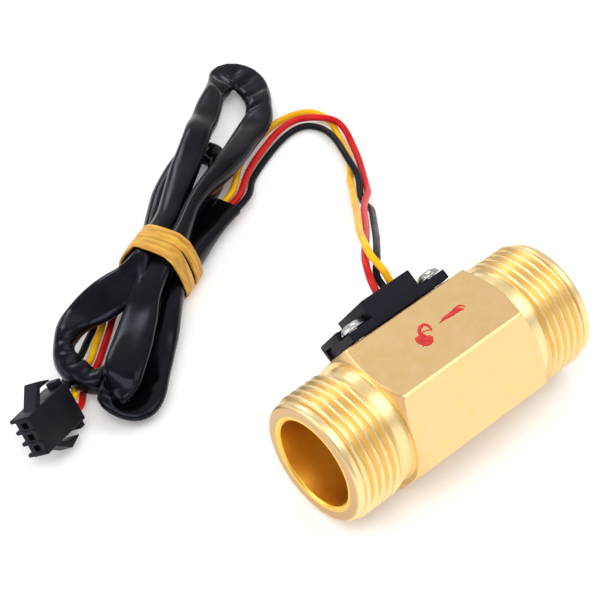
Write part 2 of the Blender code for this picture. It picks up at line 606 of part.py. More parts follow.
def make_cover():
    """The black cover: a block over the circuit between two screw ears, moulded in one piece."""
    side = [(COVER_LEFT, COVER_BASE), (COVER_RIGHT, COVER_BASE), (COVER_RIGHT, RIGHT_EAR_HEIGHT)]
    side += [(BLOCK_HALF_LENGTH, RIGHT_EAR_HEIGHT), (BLOCK_HALF_LENGTH, BLOCK_HEIGHT)]
    side += [(-BLOCK_HALF_LENGTH, BLOCK_HEIGHT), (-BLOCK_HALF_LENGTH, LEFT_EAR_HEIGHT)]
    side += [(COVER_LEFT, LEFT_EAR_HEIGHT)]
    cover = plate("sensor_cover", [side], -COVER_FAR, -COVER_NEAR, "black_plastic", SEAT)
    cover.rotation_euler = (math.pi / 2, 0, 0)
    bevel = cover.modifiers.new("rounded edges", "BEVEL")
    bevel.width = COVER_EDGE
    bevel.segments = 2
    bevel.limit_method = "ANGLE"
    low = (-CAVITY_HALF_LENGTH, CAVITY_NEAR, -OVERCUT)
    high = (CAVITY_HALF_LENGTH, CAVITY_FAR, CAVITY_TOP)
    combine(cover, box("cover room", low, high, None, SEAT), "DIFFERENCE")
    for i, x in enumerate(SCREW_X):
        top = BLOCK_HEIGHT + OVERCUT
        seat = arc(x, SCREW_Y, SCREW_SEAT_RADIUS, 0, math.pi)
        seat += [(x - SCREW_SEAT_RADIUS, COVER_NEAR - OVERCUT), (x + SCREW_SEAT_RADIUS, COVER_NEAR - OVERCUT)]
        space = plate(f"screw seat {i}", [seat], SCREW_SEAT_HEIGHT, top, None, SEAT)
        combine(cover, space, "DIFFERENCE")
        hole = cylinder(f"ear hole {i}", SCREW_SHANK_RADIUS + GAP, -OVERCUT, top, x, SCREW_Y, None, SEAT)
        combine(cover, hole, "DIFFERENCE")
    slot = arc(max(LEAD_X.values()), LEAD_Y, SLOT_WIDTH / 2, -math.pi / 2, math.pi / 2)
    slot += arc(min(LEAD_X.values()), LEAD_Y, SLOT_WIDTH / 2, math.pi / 2, math.pi * 3 / 2)
    opening = plate("lead slot", [slot], CAVITY_TOP - OVERCUT, BLOCK_HEIGHT + OVERCUT, None, SEAT)
    combine(cover, opening, "DIFFERENCE")
    notch_top = LEFT_EAR_HEIGHT - COVER_WALL
    notch_far = COVER_FAR - COVER_WALL
    notch_low = (COVER_LEFT - OVERCUT, notch_far - END_NOTCH_WIDTH, notch_top - END_NOTCH_HEIGHT)
    notch = box("end notch", notch_low, (COVER_LEFT + END_NOTCH_DEPTH, notch_far, notch_top), None, SEAT)
    combine(cover, notch, "DIFFERENCE")


def make_cover_screws():
    """Two pan head screws with a cross recess."""
    for name, x in zip(("cover_screw_left", "cover_screw_right"), SCREW_X):
        crown = HEAD_BASE + SCREW_HEAD_HEIGHT
        profile = [(0, crown)]
        for out, down in SCREW_HEAD_SHAPE:
            profile.append((SCREW_HEAD_RADIUS * out, crown - SCREW_HEAD_HEIGHT * down))
        profile += [(SCREW_HEAD_RADIUS, HEAD_BASE)]
        profile += [(SCREW_SHANK_RADIUS, HEAD_BASE), (SCREW_SHANK_RADIUS, SCREW_TIP + SCREW_SHANK_RADIUS / 2)]
        profile += [(SCREW_SHANK_RADIUS / 2, SCREW_TIP), (0, SCREW_TIP)]
        screw = turned(name, profile, "steel", SEAT)
        screw.location = (x, SCREW_Y, 0)
        for wide, deep in ((SCREW_RECESS, SCREW_RECESS_WIDTH), (SCREW_RECESS_WIDTH, SCREW_RECESS)):
            low = (x - wide / 2, SCREW_Y - deep / 2, crown - SCREW_RECESS_DEPTH)
            high = (x + wide / 2, SCREW_Y + deep / 2, crown + OVERCUT)
            combine(screw, box(f"{name} recess {wide > deep}", low, high, None, SEAT), "DIFFERENCE")


def make_circuit():
    """The circuit board, the hall switch in its pocket and the two chips on the board."""
    low = (GAP - CAVITY_HALF_LENGTH, CAVITY_NEAR + GAP, BOARD_BASE)
    high = (CAVITY_HALF_LENGTH - GAP, CAVITY_FAR - GAP, BOARD_TOP)
    box("hall_board", low, high, "board_green", SEAT)
    floor = GAP - POCKET_DEPTH
    near = GAP - POCKET_WIDTH / 2
    low = (POCKET_X - HALL_WIDTH / 2, near, floor)
    high = (POCKET_X + HALL_WIDTH / 2, near + HALL_HEIGHT, floor + HALL_THICKNESS)
    hall = box("hall_sensor", low, high, "epoxy_black", SEAT)
    for i in (-1, 0, 1):
        x = POCKET_X + i * HALL_LEG_PITCH
        level = floor + HALL_THICKNESS / 2
        out_low = (x - HALL_LEG / 2, near + HALL_HEIGHT - SINK, level - HALL_LEG / 2)
        out_high = (x + HALL_LEG / 2, near + HALL_HEIGHT + 2 * HALL_LEG, level + HALL_LEG / 2)
        combine(hall, box(f"hall leg {i}", out_low, out_high, None, SEAT), "UNION")
        up_low = (out_low[0] + HALL_LEG_INSET, out_high[1] - HALL_LEG, level)
        up_high = (out_high[0] - HALL_LEG_INSET, out_high[1] - HALL_LEG_INSET, BOARD_BASE - GAP)
        combine(hall, box(f"hall leg end {i}", up_low, up_high, None, SEAT), "UNION")
    chips = (("resistor", RESISTOR_HEIGHT, "epoxy_black"), ("capacitor", CAPACITOR_HEIGHT, "chip_tan"))
    for chip, height, material in chips:
        low = (-CAVITY_HALF_LENGTH + 3 * GAP, CHIP_Y[chip] - CHIP_WIDTH / 2, CHIP_BASE)
        high = (low[0] + CHIP_LENGTH, CHIP_Y[chip] + CHIP_WIDTH / 2, CHIP_BASE + height)
        box("board_" + chip, low, high, material, SEAT, height / 8)


def add_vanes(thing, label, count, reach, low, length, twist, thickness):
    """Joins evenly turned vanes to a hub; the reach is their inner and outer radius."""
    inner, outer = reach
    for i in range(count):
        turn = math.tau * i / count
        combine(thing, vane(f"{label} {i}", inner, outer, low, length, twist, thickness, turn, PIPE), "UNION")


def make_turbine():
    """The stack in the bore: retaining ring, guide, washers, rotor with its magnet, pin and rear support."""
    ring_outer = BORE_RADIUS + GROOVE_DEPTH - GAP
    section = ring_profile(ring_outer, ring_outer - RING_WALL, RING_FRONT, RING_BACK)
    ring = turned("retaining_ring", section, "steel", PIPE, TURN_STEPS, True)
    low = (0, -RING_OPENING / 2, RING_FRONT - OVERCUT)
    high = (BORE_RADIUS * 2, RING_OPENING / 2, RING_BACK + OVERCUT)
    combine(ring, box("ring opening", low, high, None, PIPE), "DIFFERENCE")

    guide_outer = BORE_RADIUS - GAP
    guide_inner = guide_outer - GUIDE_WALL
    section = ring_profile(guide_outer, guide_inner, GUIDE_FRONT, GUIDE_BACK)
    guide = turned("inlet_guide", section, "white_plastic", PIPE, TURN_STEPS, True)
    hub = [(0, GUIDE_BACK), (GUIDE_HUB_RADIUS, GUIDE_BACK)]
    for i in range(4):
        angle = math.pi / 2 * i / 4
        hub.append((GUIDE_HUB_RADIUS * math.cos(angle), GUIDE_FRONT + GUIDE_NOSE * (1 - math.sin(angle))))
    hub.append((0, GUIDE_FRONT))
    combine(guide, turned("guide hub", hub, None, PIPE), "UNION")
    reach = (GUIDE_HUB_RADIUS - SINK * 2, guide_inner + SINK)
    start = GUIDE_FRONT + GUIDE_VANE_START
    add_vanes(guide, "guide vane", GUIDE_VANES, reach, start, GUIDE_VANE_LENGTH, VANE_TWIST, VANE_THICKNESS)
    seat_front = GUIDE_BACK - PIN_SEAT - GAP
    front_seat = cylinder("front pin seat", SEAT_HOLE_RADIUS, seat_front, GUIDE_BACK + OVERCUT, parent=PIPE)
    combine(guide, front_seat, "DIFFERENCE")

    support_inner = guide_outer - SUPPORT_WALL
    section = ring_profile(guide_outer, support_inner, SUPPORT_FRONT, SUPPORT_BACK)
    support = turned("outlet_support", section, "white_plastic", PIPE, TURN_STEPS, True)
    support_hub = cylinder("support hub", SUPPORT_HUB_RADIUS, SUPPORT_FRONT, SUPPORT_BACK, parent=PIPE)
    combine(support, support_hub, "UNION")
    for i in range(SUPPORT_SPOKES):
        low = (SUPPORT_HUB_RADIUS - SINK * 2, -SPOKE_WIDTH / 2, SUPPORT_FRONT + SINK)
        high = (support_inner + SINK, SPOKE_WIDTH / 2, SUPPORT_BACK - SINK)
        spoke = box(f"support spoke {i}", low, high, None, PIPE)
        spoke.rotation_euler = (0, 0, math.tau * (i + 0.5) / SUPPORT_SPOKES)
        combine(support, spoke, "UNION")
    seat_back = SUPPORT_FRONT + REAR_PIN_SEAT
    rear_seat = cylinder("rear pin seat", SEAT_HOLE_RADIUS, SUPPORT_FRONT - OVERCUT, seat_back, parent=PIPE)
    combine(support, rear_seat, "DIFFERENCE")
    cylinder("rotor_shaft", PIN_RADIUS, GUIDE_BACK - PIN_SEAT, seat_back - GAP, material="steel", parent=PIPE)

    for place, front in (("front", FRONT_WASHER_FRONT), ("rear", REAR_WASHER_FRONT)):
        section = ring_profile(WASHER_RADIUS, SEAT_HOLE_RADIUS, front, front + WASHER_THICKNESS)
        turned("thrust_washer_" + place, section, "steel", PIPE, closed=True)

    flange_front = ROTOR_FRONT + BLADE_START + BLADE_LENGTH - SINK
    flange_back = flange_front + FLANGE_THICKNESS
    rotor_bore = (PIN_RADIUS + PIN_CLEARANCE) / math.cos(math.pi / SMALL_STEPS)
    profile = [(ROTOR_HUB_RADIUS, ROTOR_BACK), (ROTOR_HUB_RADIUS, flange_back), (FLANGE_RADIUS, flange_back)]
    profile += [(FLANGE_RADIUS, flange_front), (ROTOR_HUB_RADIUS, flange_front)]
    profile += [(ROTOR_HUB_RADIUS, ROTOR_FRONT), (rotor_bore, ROTOR_FRONT), (rotor_bore, ROTOR_BACK)]
    rotor = turned("rotor", profile, "white_plastic", PIPE, closed=True)
    reach = (ROTOR_HUB_RADIUS - SINK * 2, ROTOR_TIP_RADIUS)
    start = ROTOR_FRONT + BLADE_START
    add_vanes(rotor, "rotor blade", ROTOR_BLADES, reach, start, BLADE_LENGTH, BLADE_TWIST, BLADE_THICKNESS)
    start = flange_back + GAP
    section = ring_profile(MAGNET_RADIUS, ROTOR_HUB_RADIUS + GAP, start, start + MAGNET_LENGTH)
    turned("rotor_magnet", section, "magnet_grey", PIPE, closed=True)


def arm_outline(side, flare):
    """A latch arm seen along the plug's Z: a thin blade from the side wall out to a finger lip."""
    wall = PLUG_WIDTH / 2
    root = wall - SINK
    points = [(ARM_ROOT, root), (ARM_ROOT, wall), (ARM_KNEE, wall + flare)]
    points += [(ARM_TIP, wall + flare * ARM_TIP_OUTER), (ARM_TIP, wall + flare * ARM_TIP_INNER)]
    points += [(ARM_KNEE, wall + flare - ARM_KNEE_SHARE * ARM_THICKNESS), (ARM_INNER_ROOT, root)]
    return [(x, side * y) for x, y in points]


def make_plug():
    """The three-way plug: a housing with ways, ribs, latch arms and end tabs, and its contacts."""
    ways = {colour: order * PLUG_WAY_PITCH for colour, order in WAY_ORDER.items()}
    floor = PLUG_RIB_HEIGHT
    top = floor + PLUG_HEIGHT
    level = (floor + top) / 2
    wall = PLUG_WIDTH / 2
    low = (0, -wall, floor)
    housing = box("connector_housing", low, (PLUG_LENGTH, wall, top), "black_plastic", PLUG, COVER_EDGE / 2)
    outer_rib = wall - PLUG_RIB_INSET - PLUG_RIB_WIDTH / 2
    for i in range(PLUG_RIBS):
        y = outer_rib * (2 * i / (PLUG_RIBS - 1) - 1)
        low = (SINK, y - PLUG_RIB_WIDTH / 2, 0)
        high = (PLUG_LENGTH - SINK, y + PLUG_RIB_WIDTH / 2, floor + 2 * SINK)
        combine(housing, box(f"plug rib {i}", low, high, None, PLUG), "UNION")
    for side, flare in ((1, ARM_FLARE["upper"]), (-1, ARM_FLARE["lower"])):
        outline = arm_outline(side, flare)
        combine(housing, plate(f"latch arm {side}", [outline], floor + SINK, top - SINK, None, PLUG), "UNION")
        near, far = sorted((side * (wall - SINK), side * (wall + PLUG_TAB)))
        low = (PLUG_LENGTH - PLUG_TAB_LENGTH - SINK, near, floor + 2 * SINK)
        high = (PLUG_LENGTH - SINK, far, top - 2 * SINK)
        combine(housing, box(f"end tab {side}", low, high, None, PLUG), "UNION")
    low = (PLUG_WINDOW_START, -PLUG_WAY_PITCH / 2, top - PLUG_WINDOW_DEPTH)
    high = (PLUG_WINDOW_END, PLUG_WAY_PITCH / 2, top + OVERCUT)
    combine(housing, box("plug window", low, high, None, PLUG), "DIFFERENCE")
    for colour, y in ways.items():
        low = (SOCKET_DEPTH, y - CAVITY_WIDTH / 2, level - CAVITY_HEIGHT / 2)
        high = (PLUG_LENGTH + OVERCUT, y + CAVITY_WIDTH / 2, level + CAVITY_HEIGHT / 2)
        combine(housing, box(f"plug way {colour}", low, high, None, PLUG), "DIFFERENCE")
        low = (-OVERCUT, y - SOCKET_SIZE / 2, level - SOCKET_SIZE / 2)
        high = (SOCKET_DEPTH + SINK, y + SOCKET_SIZE / 2, level + SOCKET_SIZE / 2)
        combine(housing, box(f"plug socket {colour}", low, high, None, PLUG), "DIFFERENCE")
        half = (CAVITY_WIDTH / 2 - GAP, CAVITY_HEIGHT / 2 - GAP)
        front = SOCKET_DEPTH + GAP
        back = front + CONTACT_BOX_LENGTH
        low = (front, y - half[0], level - half[1])
        high = (back, y + half[0], level + half[1])
        contact = box(f"contact_{colour}", low, high, "tin", PLUG)
        low = (front - OVERCUT, y - CONTACT_BORE / 2, level - CONTACT_BORE / 2)
        high = (back - CONTACT_BORE, y + CONTACT_BORE / 2, level + CONTACT_BORE / 2)
        combine(contact, box(f"contact bore {colour}", low, high, None, PLUG), "DIFFERENCE")
        barrel = (half[0] * CONTACT_BARREL_SHARE, half[1] * CONTACT_BARREL_SHARE)
        low = (back - SINK, y - barrel[0], level - barrel[1])
        high = (back + CONTACT_BARREL_LENGTH, y + barrel[0], level + barrel[1])
        combine(contact, box(f"contact barrel {colour}", low, high, None, PLUG), "UNION")
    wire_end = SOCKET_DEPTH + GAP + CONTACT_BOX_LENGTH + CONTACT_BARREL_LENGTH + GAP
    along = (PLUG_LENGTH + WIRE_STRAIGHT, wire_end)
    return {colour: [PLUG_MATRIX @ Vector((x, y, level)) for x in along] for colour, y in ways.items()}


def metres(points):
    """Turns route points from millimetres into metres."""
    return [Vector(point) / 1000 for point in points]


def make_lead(plug_ends):
    """The three wires, the sleeve that holds them and the wires beyond it that end in the plug."""
    sleeve = smooth_route(metres(SLEEVE_ROUTE))
    points = spread(sleeve, SLEEVE_SPACING, SLEEVE_BEND_STEP)
    tube("cable_sleeve", points, SLEEVE_DIAMETER, "sleeve_black", SLEEVE_SIDES)
    mouth_out = Vector(points[0] - points[1]).normalized()
    end_out = Vector(points[-1] - points[-2]).normalized()
    step = WIRE_DIAMETER + WIRE_GAP
    up = Vector((0, 0, 1))
    for colour in WIRE_ROUTES:
        across = up.cross(mouth_out).normalized() * step * MOUTH_ORDER[colour]
        heights = (CHIP_BASE, BLOCK_HEIGHT)
        start = [SEAT_MATRIX @ Vector((LEAD_X[colour], LEAD_Y, height)) for height in heights]
        stop = [Vector(points[0]) + mouth_out * LEAD_OUT + across]
        route = smooth_route(start + metres(WIRE_ROUTES[colour]) + stop)
        places = spread(route, WIRE_SPACING, WIRE_BEND_STEP)
        tube(f"wire_{colour}", places, WIRE_DIAMETER, f"wire_{colour}")
        across = up.cross(end_out).normalized() * step * TAIL_ORDER[colour]
        start = [Vector(points[-1]) + end_out * LEAD_OUT + across]
        route = smooth_route(start + metres(TAIL_ROUTES[colour]) + plug_ends[colour])
        places = spread(route, WIRE_SPACING, WIRE_BEND_STEP)
        tube(f"tail_wire_{colour}", places, WIRE_DIAMETER, f"wire_{colour}")
    return sleeve


def make_band(sleeve):
    """The rubber band: a ring drawn tight round every pass of the sleeve that it crosses."""
    frame = Matrix.Translation(BAND_CENTRE) @ Euler((0, math.pi / 2, BAND_TURN)).to_matrix().to_4x4()
    local = np.array([frame.inverted() @ Vector(point) for point in sleeve])
    held = local[np.abs(local[:, 2]) < BAND_WIDTH / 2 + GAP]
    angles = [math.tau * i / BAND_SIDES for i in range(BAND_SIDES)]
    outlines = []
    for reach in (SLEEVE_DIAMETER / 2 + GAP + BAND_THICKNESS, SLEEVE_DIAMETER / 2 + GAP):
        support = [max(held[:, 0] * math.cos(a) + held[:, 1] * math.sin(a)) + reach for a in angles]
        outline = []
        for i, angle in enumerate(angles):
            after = (i + 1) % len(angles)
            sides = Matrix([(math.cos(a), math.sin(a)) for a in (angle, angles[after])])
            outline.append(tuple(sides.inverted() @ Vector((support[i], support[after]))))
        outlines.append(outline)
    band = plate("bundle_band", outlines, -BAND_WIDTH / 2, BAND_WIDTH / 2, "band_amber")
    band.matrix_world = frame


make_body()
make_cover()
make_cover_screws()
make_circuit()
make_turbine()
sleeve_curve = make_lead(make_plug())
make_band(sleeve_curve)
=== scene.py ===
# %% [markdown]
# # A brass water flow sensor
#
# The real object is a short brass pipe with a thread at each end and a hexagon in the middle. A black cover on one
# flat of the hexagon hides a switch, which counts a turning rotor inside. Three thin wires leave the cover, run into
# a flattened black sleeve that is folded into a hank and held by a rubber band, and end in a black three-way plug.
#
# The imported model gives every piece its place. Here each piece gets its fine surface and its finish.

import math

import bpy
import numpy as np
from mathutils import Euler, Matrix, Vector
from mathutils.geometry import tessellate_polygon


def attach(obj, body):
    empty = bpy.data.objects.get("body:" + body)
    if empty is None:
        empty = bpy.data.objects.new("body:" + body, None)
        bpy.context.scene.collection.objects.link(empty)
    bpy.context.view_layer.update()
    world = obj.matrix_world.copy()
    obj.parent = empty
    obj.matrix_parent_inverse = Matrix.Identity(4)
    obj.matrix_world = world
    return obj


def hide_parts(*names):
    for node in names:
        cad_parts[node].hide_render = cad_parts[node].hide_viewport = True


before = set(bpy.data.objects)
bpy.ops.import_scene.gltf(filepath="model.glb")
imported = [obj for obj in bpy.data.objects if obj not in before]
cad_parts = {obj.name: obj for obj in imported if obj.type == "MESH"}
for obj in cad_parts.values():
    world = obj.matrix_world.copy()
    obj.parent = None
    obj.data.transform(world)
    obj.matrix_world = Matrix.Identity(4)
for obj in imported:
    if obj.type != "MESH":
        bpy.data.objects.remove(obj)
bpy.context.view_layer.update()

# %% [markdown]
# ## Camera
#
# The camera was fitted to the hexagon, the two threads and the bore. It looks down at the sensor from the front
# left, from 0.4 m away, through a long lens, so the pipe hardly narrows towards the far end. A camera could be aimed
# with a constraint, but here its three axes are worked out, because the picture is also rolled by a degree and a
# half.

# %% Camera
AZIMUTH = math.radians(-40.8)
ELEVATION = math.radians(46.73)
ROLL = math.radians(-1.59)
EYE = Vector((-193.0, -185.7, 319.8)) / 1000

level = Vector((math.cos(AZIMUTH), math.sin(AZIMUTH), 0))
ahead = Vector((-math.sin(AZIMUTH) * math.cos(ELEVATION), math.cos(AZIMUTH) * math.cos(ELEVATION),
                -math.sin(ELEVATION)))
above = level.cross(ahead)
right = math.cos(ROLL) * level + math.sin(ROLL) * above
up = math.cos(ROLL) * above - math.sin(ROLL) * level
camera_data = bpy.data.cameras.new("photo camera")
camera_data.sensor_width = 36
camera_data.lens = 127.65
camera_data.clip_end = 10
camera = bpy.data.objects.new("photo camera", camera_data)
camera.matrix_world = Matrix.Translation(EYE) @ Matrix((right, up, -ahead)).transposed().to_4x4()
bpy.context.scene.collection.objects.link(camera)
bpy.context.scene.camera = camera
seen = camera_data.sensor_width / camera_data.lens * EYE.length * 1000
print("the lens of", round(camera_data.lens, 2), "mm sees", round(seen), "mm across the middle of the object")

# %% [markdown]
# ## From arrays to pieces
#
# Every new piece is made of shells: arrays of points in millimetres and lists of faces. A grid of points becomes
# four-sided faces between neighbours. A shell that bounds a solid has a volume, so its faces can be turned outwards
# by looking at the sign of that volume.

# %% Shells
def grid_faces(rows, columns, wrap_rows=False):
    """Quads between neighbours on a grid: each takes (i, j), (i, j+1), (i+1, j+1), (i+1, j), with wrapped indices."""
    i = np.arange(rows if wrap_rows else rows - 1)[:, None]
    j = np.arange(columns)[None, :]
    below, beside = (i + 1) % rows, (j + 1) % columns
    corners = [i * columns + j, i * columns + beside, below * columns + beside, below * columns + j]
    return np.stack([np.broadcast_to(c, (i.size, j.size)).ravel() for c in corners], axis=1)


def volume(points, faces):
    """Signed volume: the sum over fan triangles of the scalar triple product of their corners, over six."""
    total = 0.0
    for face in faces:
        a, rest = points[face[0]], points[face[1:]]
        total += np.einsum("ij,ij->", np.cross(rest[:-1], rest[1:]), np.broadcast_to(a, rest[:-1].shape))
    return total / 6


def facing_out(points, faces):
    """The faces of a closed shell, all turned round if its volume comes out negative."""
    faces = [list(face) for face in faces]
    if volume(points, faces) < 0:
        faces = [face[::-1] for face in faces]
    return points, faces


def grid_shell(grid, wrap_rows=False):
    """A shell from rings of points (rows, columns, 3): rings are joined in turn, and the end ones become caps."""
    rows, columns = grid.shape[:2]
    points = grid.reshape(-1, 3)
    faces = grid_faces(rows, columns, wrap_rows).tolist()
    if not wrap_rows:
        faces.append(list(range(columns))[::-1])
        faces.append(list(range((rows - 1) * columns, rows * columns)))
    return facing_out(points, faces)


# %% Pieces
def make_piece(name, shells, material, body="sensor", sharp=35, new=False):
    """One smooth object from shells in mm, sharp where faces meet at more than the given angle.

    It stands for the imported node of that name, unless it is new."""
    label = name if new else f"{name}_surface"
    points = np.concatenate([shell[0] for shell in shells])
    faces = []
    start = 0
    for shell in shells:
        faces += [[index + start for index in face] for face in shell[1]]
        start += len(shell[0])
    mesh = bpy.data.meshes.new(label)
    mesh.from_pydata((points / 1000).tolist(), [], faces)
    mesh.shade_smooth()
    mesh.set_sharp_from_angle(angle=math.radians(sharp))
    mesh.materials.append(material)
    piece = bpy.data.objects.new(label, mesh)
    bpy.context.scene.collection.objects.link(piece)
    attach(piece, body)
    if not new:
        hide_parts(name)
    print(f"{label}: {len(points)} points, {len(faces)} faces")
    return piece


def placed(points, matrix):
    """Points in a local frame moved to the row frame, both in mm."""
    m = np.array(matrix)
    return points @ m[:3, :3].T + m[:3, 3] * 1000


# %% [markdown]
# ## Finishes
#
# Each finish is a Principled shader with a little variation. Colours are written as sRGB hex values, which is how a
# picture shows them, and turned to the linear values that the shader takes.

# %% Node helper
def linear(hex_colour):
    """sRGB hex to linear: v / 12.92 below 0.04045, and ((v + 0.055) / 1.055) to the power 2.4 above it."""
    values = [int(hex_colour[i:i + 2], 16) / 255 for i in (1, 3, 5)]
    return [v / 12.92 if v <= 0.04045 else ((v + 0.055) / 1.055) ** 2.4 for v in values] + [1]


def link(material, node, links):
    """Links inputs of a node, by name, from (node, output) pairs."""
    for name, (source, output) in links.items():
        material.node_tree.links.new(source.outputs[output], node.inputs[name])


def add_node(material, kind, settings=(), links=()):
    """Adds a shader node, sets its properties and inputs by name, and links its inputs from (node, output) pairs."""
    node = material.node_tree.nodes.new("ShaderNode" + kind)
    for name, value in dict(settings).items():
        if name in node.inputs:
            node.inputs[name].default_value = value
        else:
            setattr(node, name, value)
    link(material, node, dict(links))
    return node


def new_finish(name, settings=()):
    """A material whose Principled shader has the given settings; returns it, the shader and its own coordinates."""
    material = bpy.data.materials.new(name)
    material.use_nodes = True
    shader = material.node_tree.nodes["Principled BSDF"]
    for key, value in dict(settings).items():
        shader.inputs[key].default_value = value
    print("finish:", name)
    return material, shader, (add_node(material, "TexCoord"), "Object")


# %% [markdown]
# ### Brass
#
# The body is free-machining brass, sawn from hexagonal bar and turned on a lathe. It is bare metal, so its colour is
# the colour of its reflection: a warm yellow. The flats keep the skin of drawn bar, whose faint scratches run along
# the pipe. The turned parts carry fine tool marks that run round it. Both are drawn a little coarser than real, or
# they would be lost between the pixels.

# %% Sizes that the finish shares with the shape, in millimetres
AXIS_HEIGHT = 13.5
HEX_END = 16.5
PIPE_END = 30.8
BORE_RADIUS = 9.3


# %% Brass
CLOUDS, GRAIN = 420, 3200  # noise cells in a metre: clouds 2.4 mm wide, and grain 0.3 mm wide
TOOL_MARKS = 1500  # a wave repeats 3.2 times as often as its scale says, so the marks are 0.2 mm apart


def make_brass():
    """Close shades that change with the place, two of them painted reflections, and a bump of long grain on the flats
    and of rings beyond them.
    """
    brass, shader, place = new_finish("drawn and turned brass", {"Metallic": 1.0})
    cloud = add_node(brass, "TexNoise", {"Scale": CLOUDS, "Detail": 6}, {"Vector": place})
    contrast = add_node(brass, "MapRange", {"From Min": 0.25, "From Max": 0.75}, {"Value": (cloud, "Fac")})
    # Where a point lies: its distance along the pipe from the middle, and its distance from the axis
    where = add_node(brass, "SeparateXYZ", {}, {"Vector": place})
    away = add_node(brass, "Math", {"operation": "ABSOLUTE"}, {0: (where, "X")})
    across = add_node(brass, "Mapping", {"Scale": (0, 1, 1), "Location": (0, 0, -AXIS_HEIGHT / 1000)},
                      {"Vector": place})
    radius = add_node(brass, "VectorMath", {"operation": "LENGTH"}, {"Vector": (across, "Vector")})
    # Where the shades go: the turned parts and the bore get painted reflections, and the end faces a darker tone
    turned, faced, painted_bore_reflection = [
        add_node(brass, "MapRange", {"From Min": begin / 1000, "From Max": full / 1000}, {"Value": measure})
        for measure, begin, full in (((away, 0), HEX_END - 0.2, HEX_END + 0.1), ((away, 0), PIPE_END - 0.3, PIPE_END),
                                     ((radius, 1), BORE_RADIUS + 1.1, BORE_RADIUS + 0.9))]
    # Drawn skin first; then a paler shade on the turned parts, which is a painted brighter reflection, the darker end
    # faces, and a saturated shade in the bore, which is a painted reflection of brass in brass
    shade = add_node(brass, "Mix", {"data_type": "RGBA", "A": linear("#F0C98A"), "B": linear("#F4D09A")},
                     {"Factor": (contrast, "Result")})
    for reach, colour in ((turned, "#F9DDA2"), (faced, "#CDA97A"), (painted_bore_reflection, "#FFCC5B")):
        shade = add_node(brass, "Mix", {"data_type": "RGBA", "B": linear(colour)},
                         {"Factor": (reach, "Result"), "A": (shade, 2)})
    drawn = add_node(brass, "Mapping", {"Scale": (0.05, 1, 1)}, {"Vector": place})
    grain = add_node(brass, "TexNoise", {"Scale": GRAIN, "Detail": 4}, {"Vector": (drawn, "Vector")})
    rings = add_node(brass, "TexWave", {"bands_direction": "X", "Scale": TOOL_MARKS, "Distortion": 1.5,
                                        "Detail": 3}, {"Vector": place})
    marks = add_node(brass, "Mix", {"data_type": "FLOAT"},
                     {"Factor": (turned, "Result"), "A": (grain, "Fac"), "B": (rings, "Fac")})
    satin = add_node(brass, "MapRange", {"To Min": 0.27, "To Max": 0.39}, {"Value": (cloud, "Fac")})
    bump = add_node(brass, "Bump", {"Strength": 0.07, "Distance": 0.0001}, {"Height": (marks, 0)})
    link(brass, shader, {"Base Color": (shade, 2), "Roughness": (satin, "Result"), "Normal": (bump, "Normal")})
    return brass


BRASS = make_brass()

# %% [markdown]
# ### Plastics, rubber and plated steel
#
# The cover and the plug are moulded thermoplastic with a fine satin skin. The sleeve and the wire insulation are soft
# PVC, which shines more and wrinkles. The band is natural rubber. All of them are dielectrics, so only roughness,
# colour and a small bump tell them apart.

# %% A plain finish with a little variation
def moulded(name, shades, roughness, grain_mm=0.25, depth=0.00002, strength=0.15, patch_mm=5, settings=()):
    """Two close shades in soft patches, a roughness that drifts with the patches, and a fine bump of grains."""
    material, shader, place = new_finish(name, settings)
    patches = add_node(material, "TexNoise", {"Scale": 1000 / patch_mm, "Detail": 4}, {"Vector": place})
    contrast = add_node(material, "MapRange", {"From Min": 0.36, "From Max": 0.64}, {"Value": (patches, "Fac")})
    tint = add_node(material, "Mix", {"data_type": "RGBA", "A": linear(shades[0]), "B": linear(shades[1])},
                    {"Factor": (contrast, "Result")})
    satin = add_node(material, "MapRange", {"To Min": roughness - 0.05, "To Max": roughness + 0.05},
                     {"Value": (contrast, "Result")})
    grains = add_node(material, "TexNoise", {"Scale": 1000 / grain_mm, "Detail": 2}, {"Vector": place})
    bump = add_node(material, "Bump", {"Strength": strength, "Distance": depth}, {"Height": (grains, "Fac")})
    link(material, shader, {"Base Color": (tint, 2), "Roughness": (satin, "Result"), "Normal": (bump, "Normal")})
    return material


# %% The sensor's plain finishes
COOL = linear("#D4D4F4")  # a slightly blue sheen, which black plastic shows in a white studio
DULL = {"Specular IOR Level": 0.24, "Specular Tint": COOL}
METAL = {"Metallic": 1.0}
# Moulded in a finely textured tool: a soft shine, which is a little stronger on nylon
COVER_PLASTIC = moulded("satin black ABS", ("#0B0B0F", "#101015"), 0.5, settings=DULL)
PLUG_PLASTIC = moulded("black nylon", ("#0D0D12", "#131319"), 0.45, settings=DULL)
# Extruded and still soft: long wet highlights on a skin that waves a little
PVC_BLACK = moulded("soft black PVC", ("#050508", "#0A0A0E"), 0.2, grain_mm=0.9, depth=0.00005, strength=0.12,
                    settings={"Specular IOR Level": 0.22, "Specular Tint": COOL})
# The same plastic, full of pigment: an even, strong colour with a dull shine
WIRE_COLOURS = {
    "red": moulded("red PVC insulation", ("#C41412", "#DA221C"), 0.36, patch_mm=3, settings=DULL),
    "yellow": moulded("yellow PVC insulation", ("#F2B000", "#FFC808"), 0.36, patch_mm=3, settings=DULL),
    "black": moulded("black PVC insulation", ("#08080A", "#0F0F12"), 0.4, patch_mm=3, settings=DULL),
}
# Acetal is waxy and milky, and ferrite is pressed powder, dark and dull
ACETAL = moulded("white acetal", ("#E3E1D8", "#EEECE5"), 0.38)
FERRITE = moulded("sintered ferrite", ("#333335", "#454548"), 0.6, grain_mm=0.12, depth=0.00004)
# Solder mask is a green lacquer, a chip's epoxy is nearly black, and ceramic is pale and dry
BOARD = moulded("green solder mask", ("#19603A", "#257343"), 0.4, grain_mm=0.6)
EPOXY = moulded("black epoxy", ("#17171A", "#222225"), 0.5)
CERAMIC = moulded("tan ceramic", ("#9F825F", "#B3946F"), 0.5)
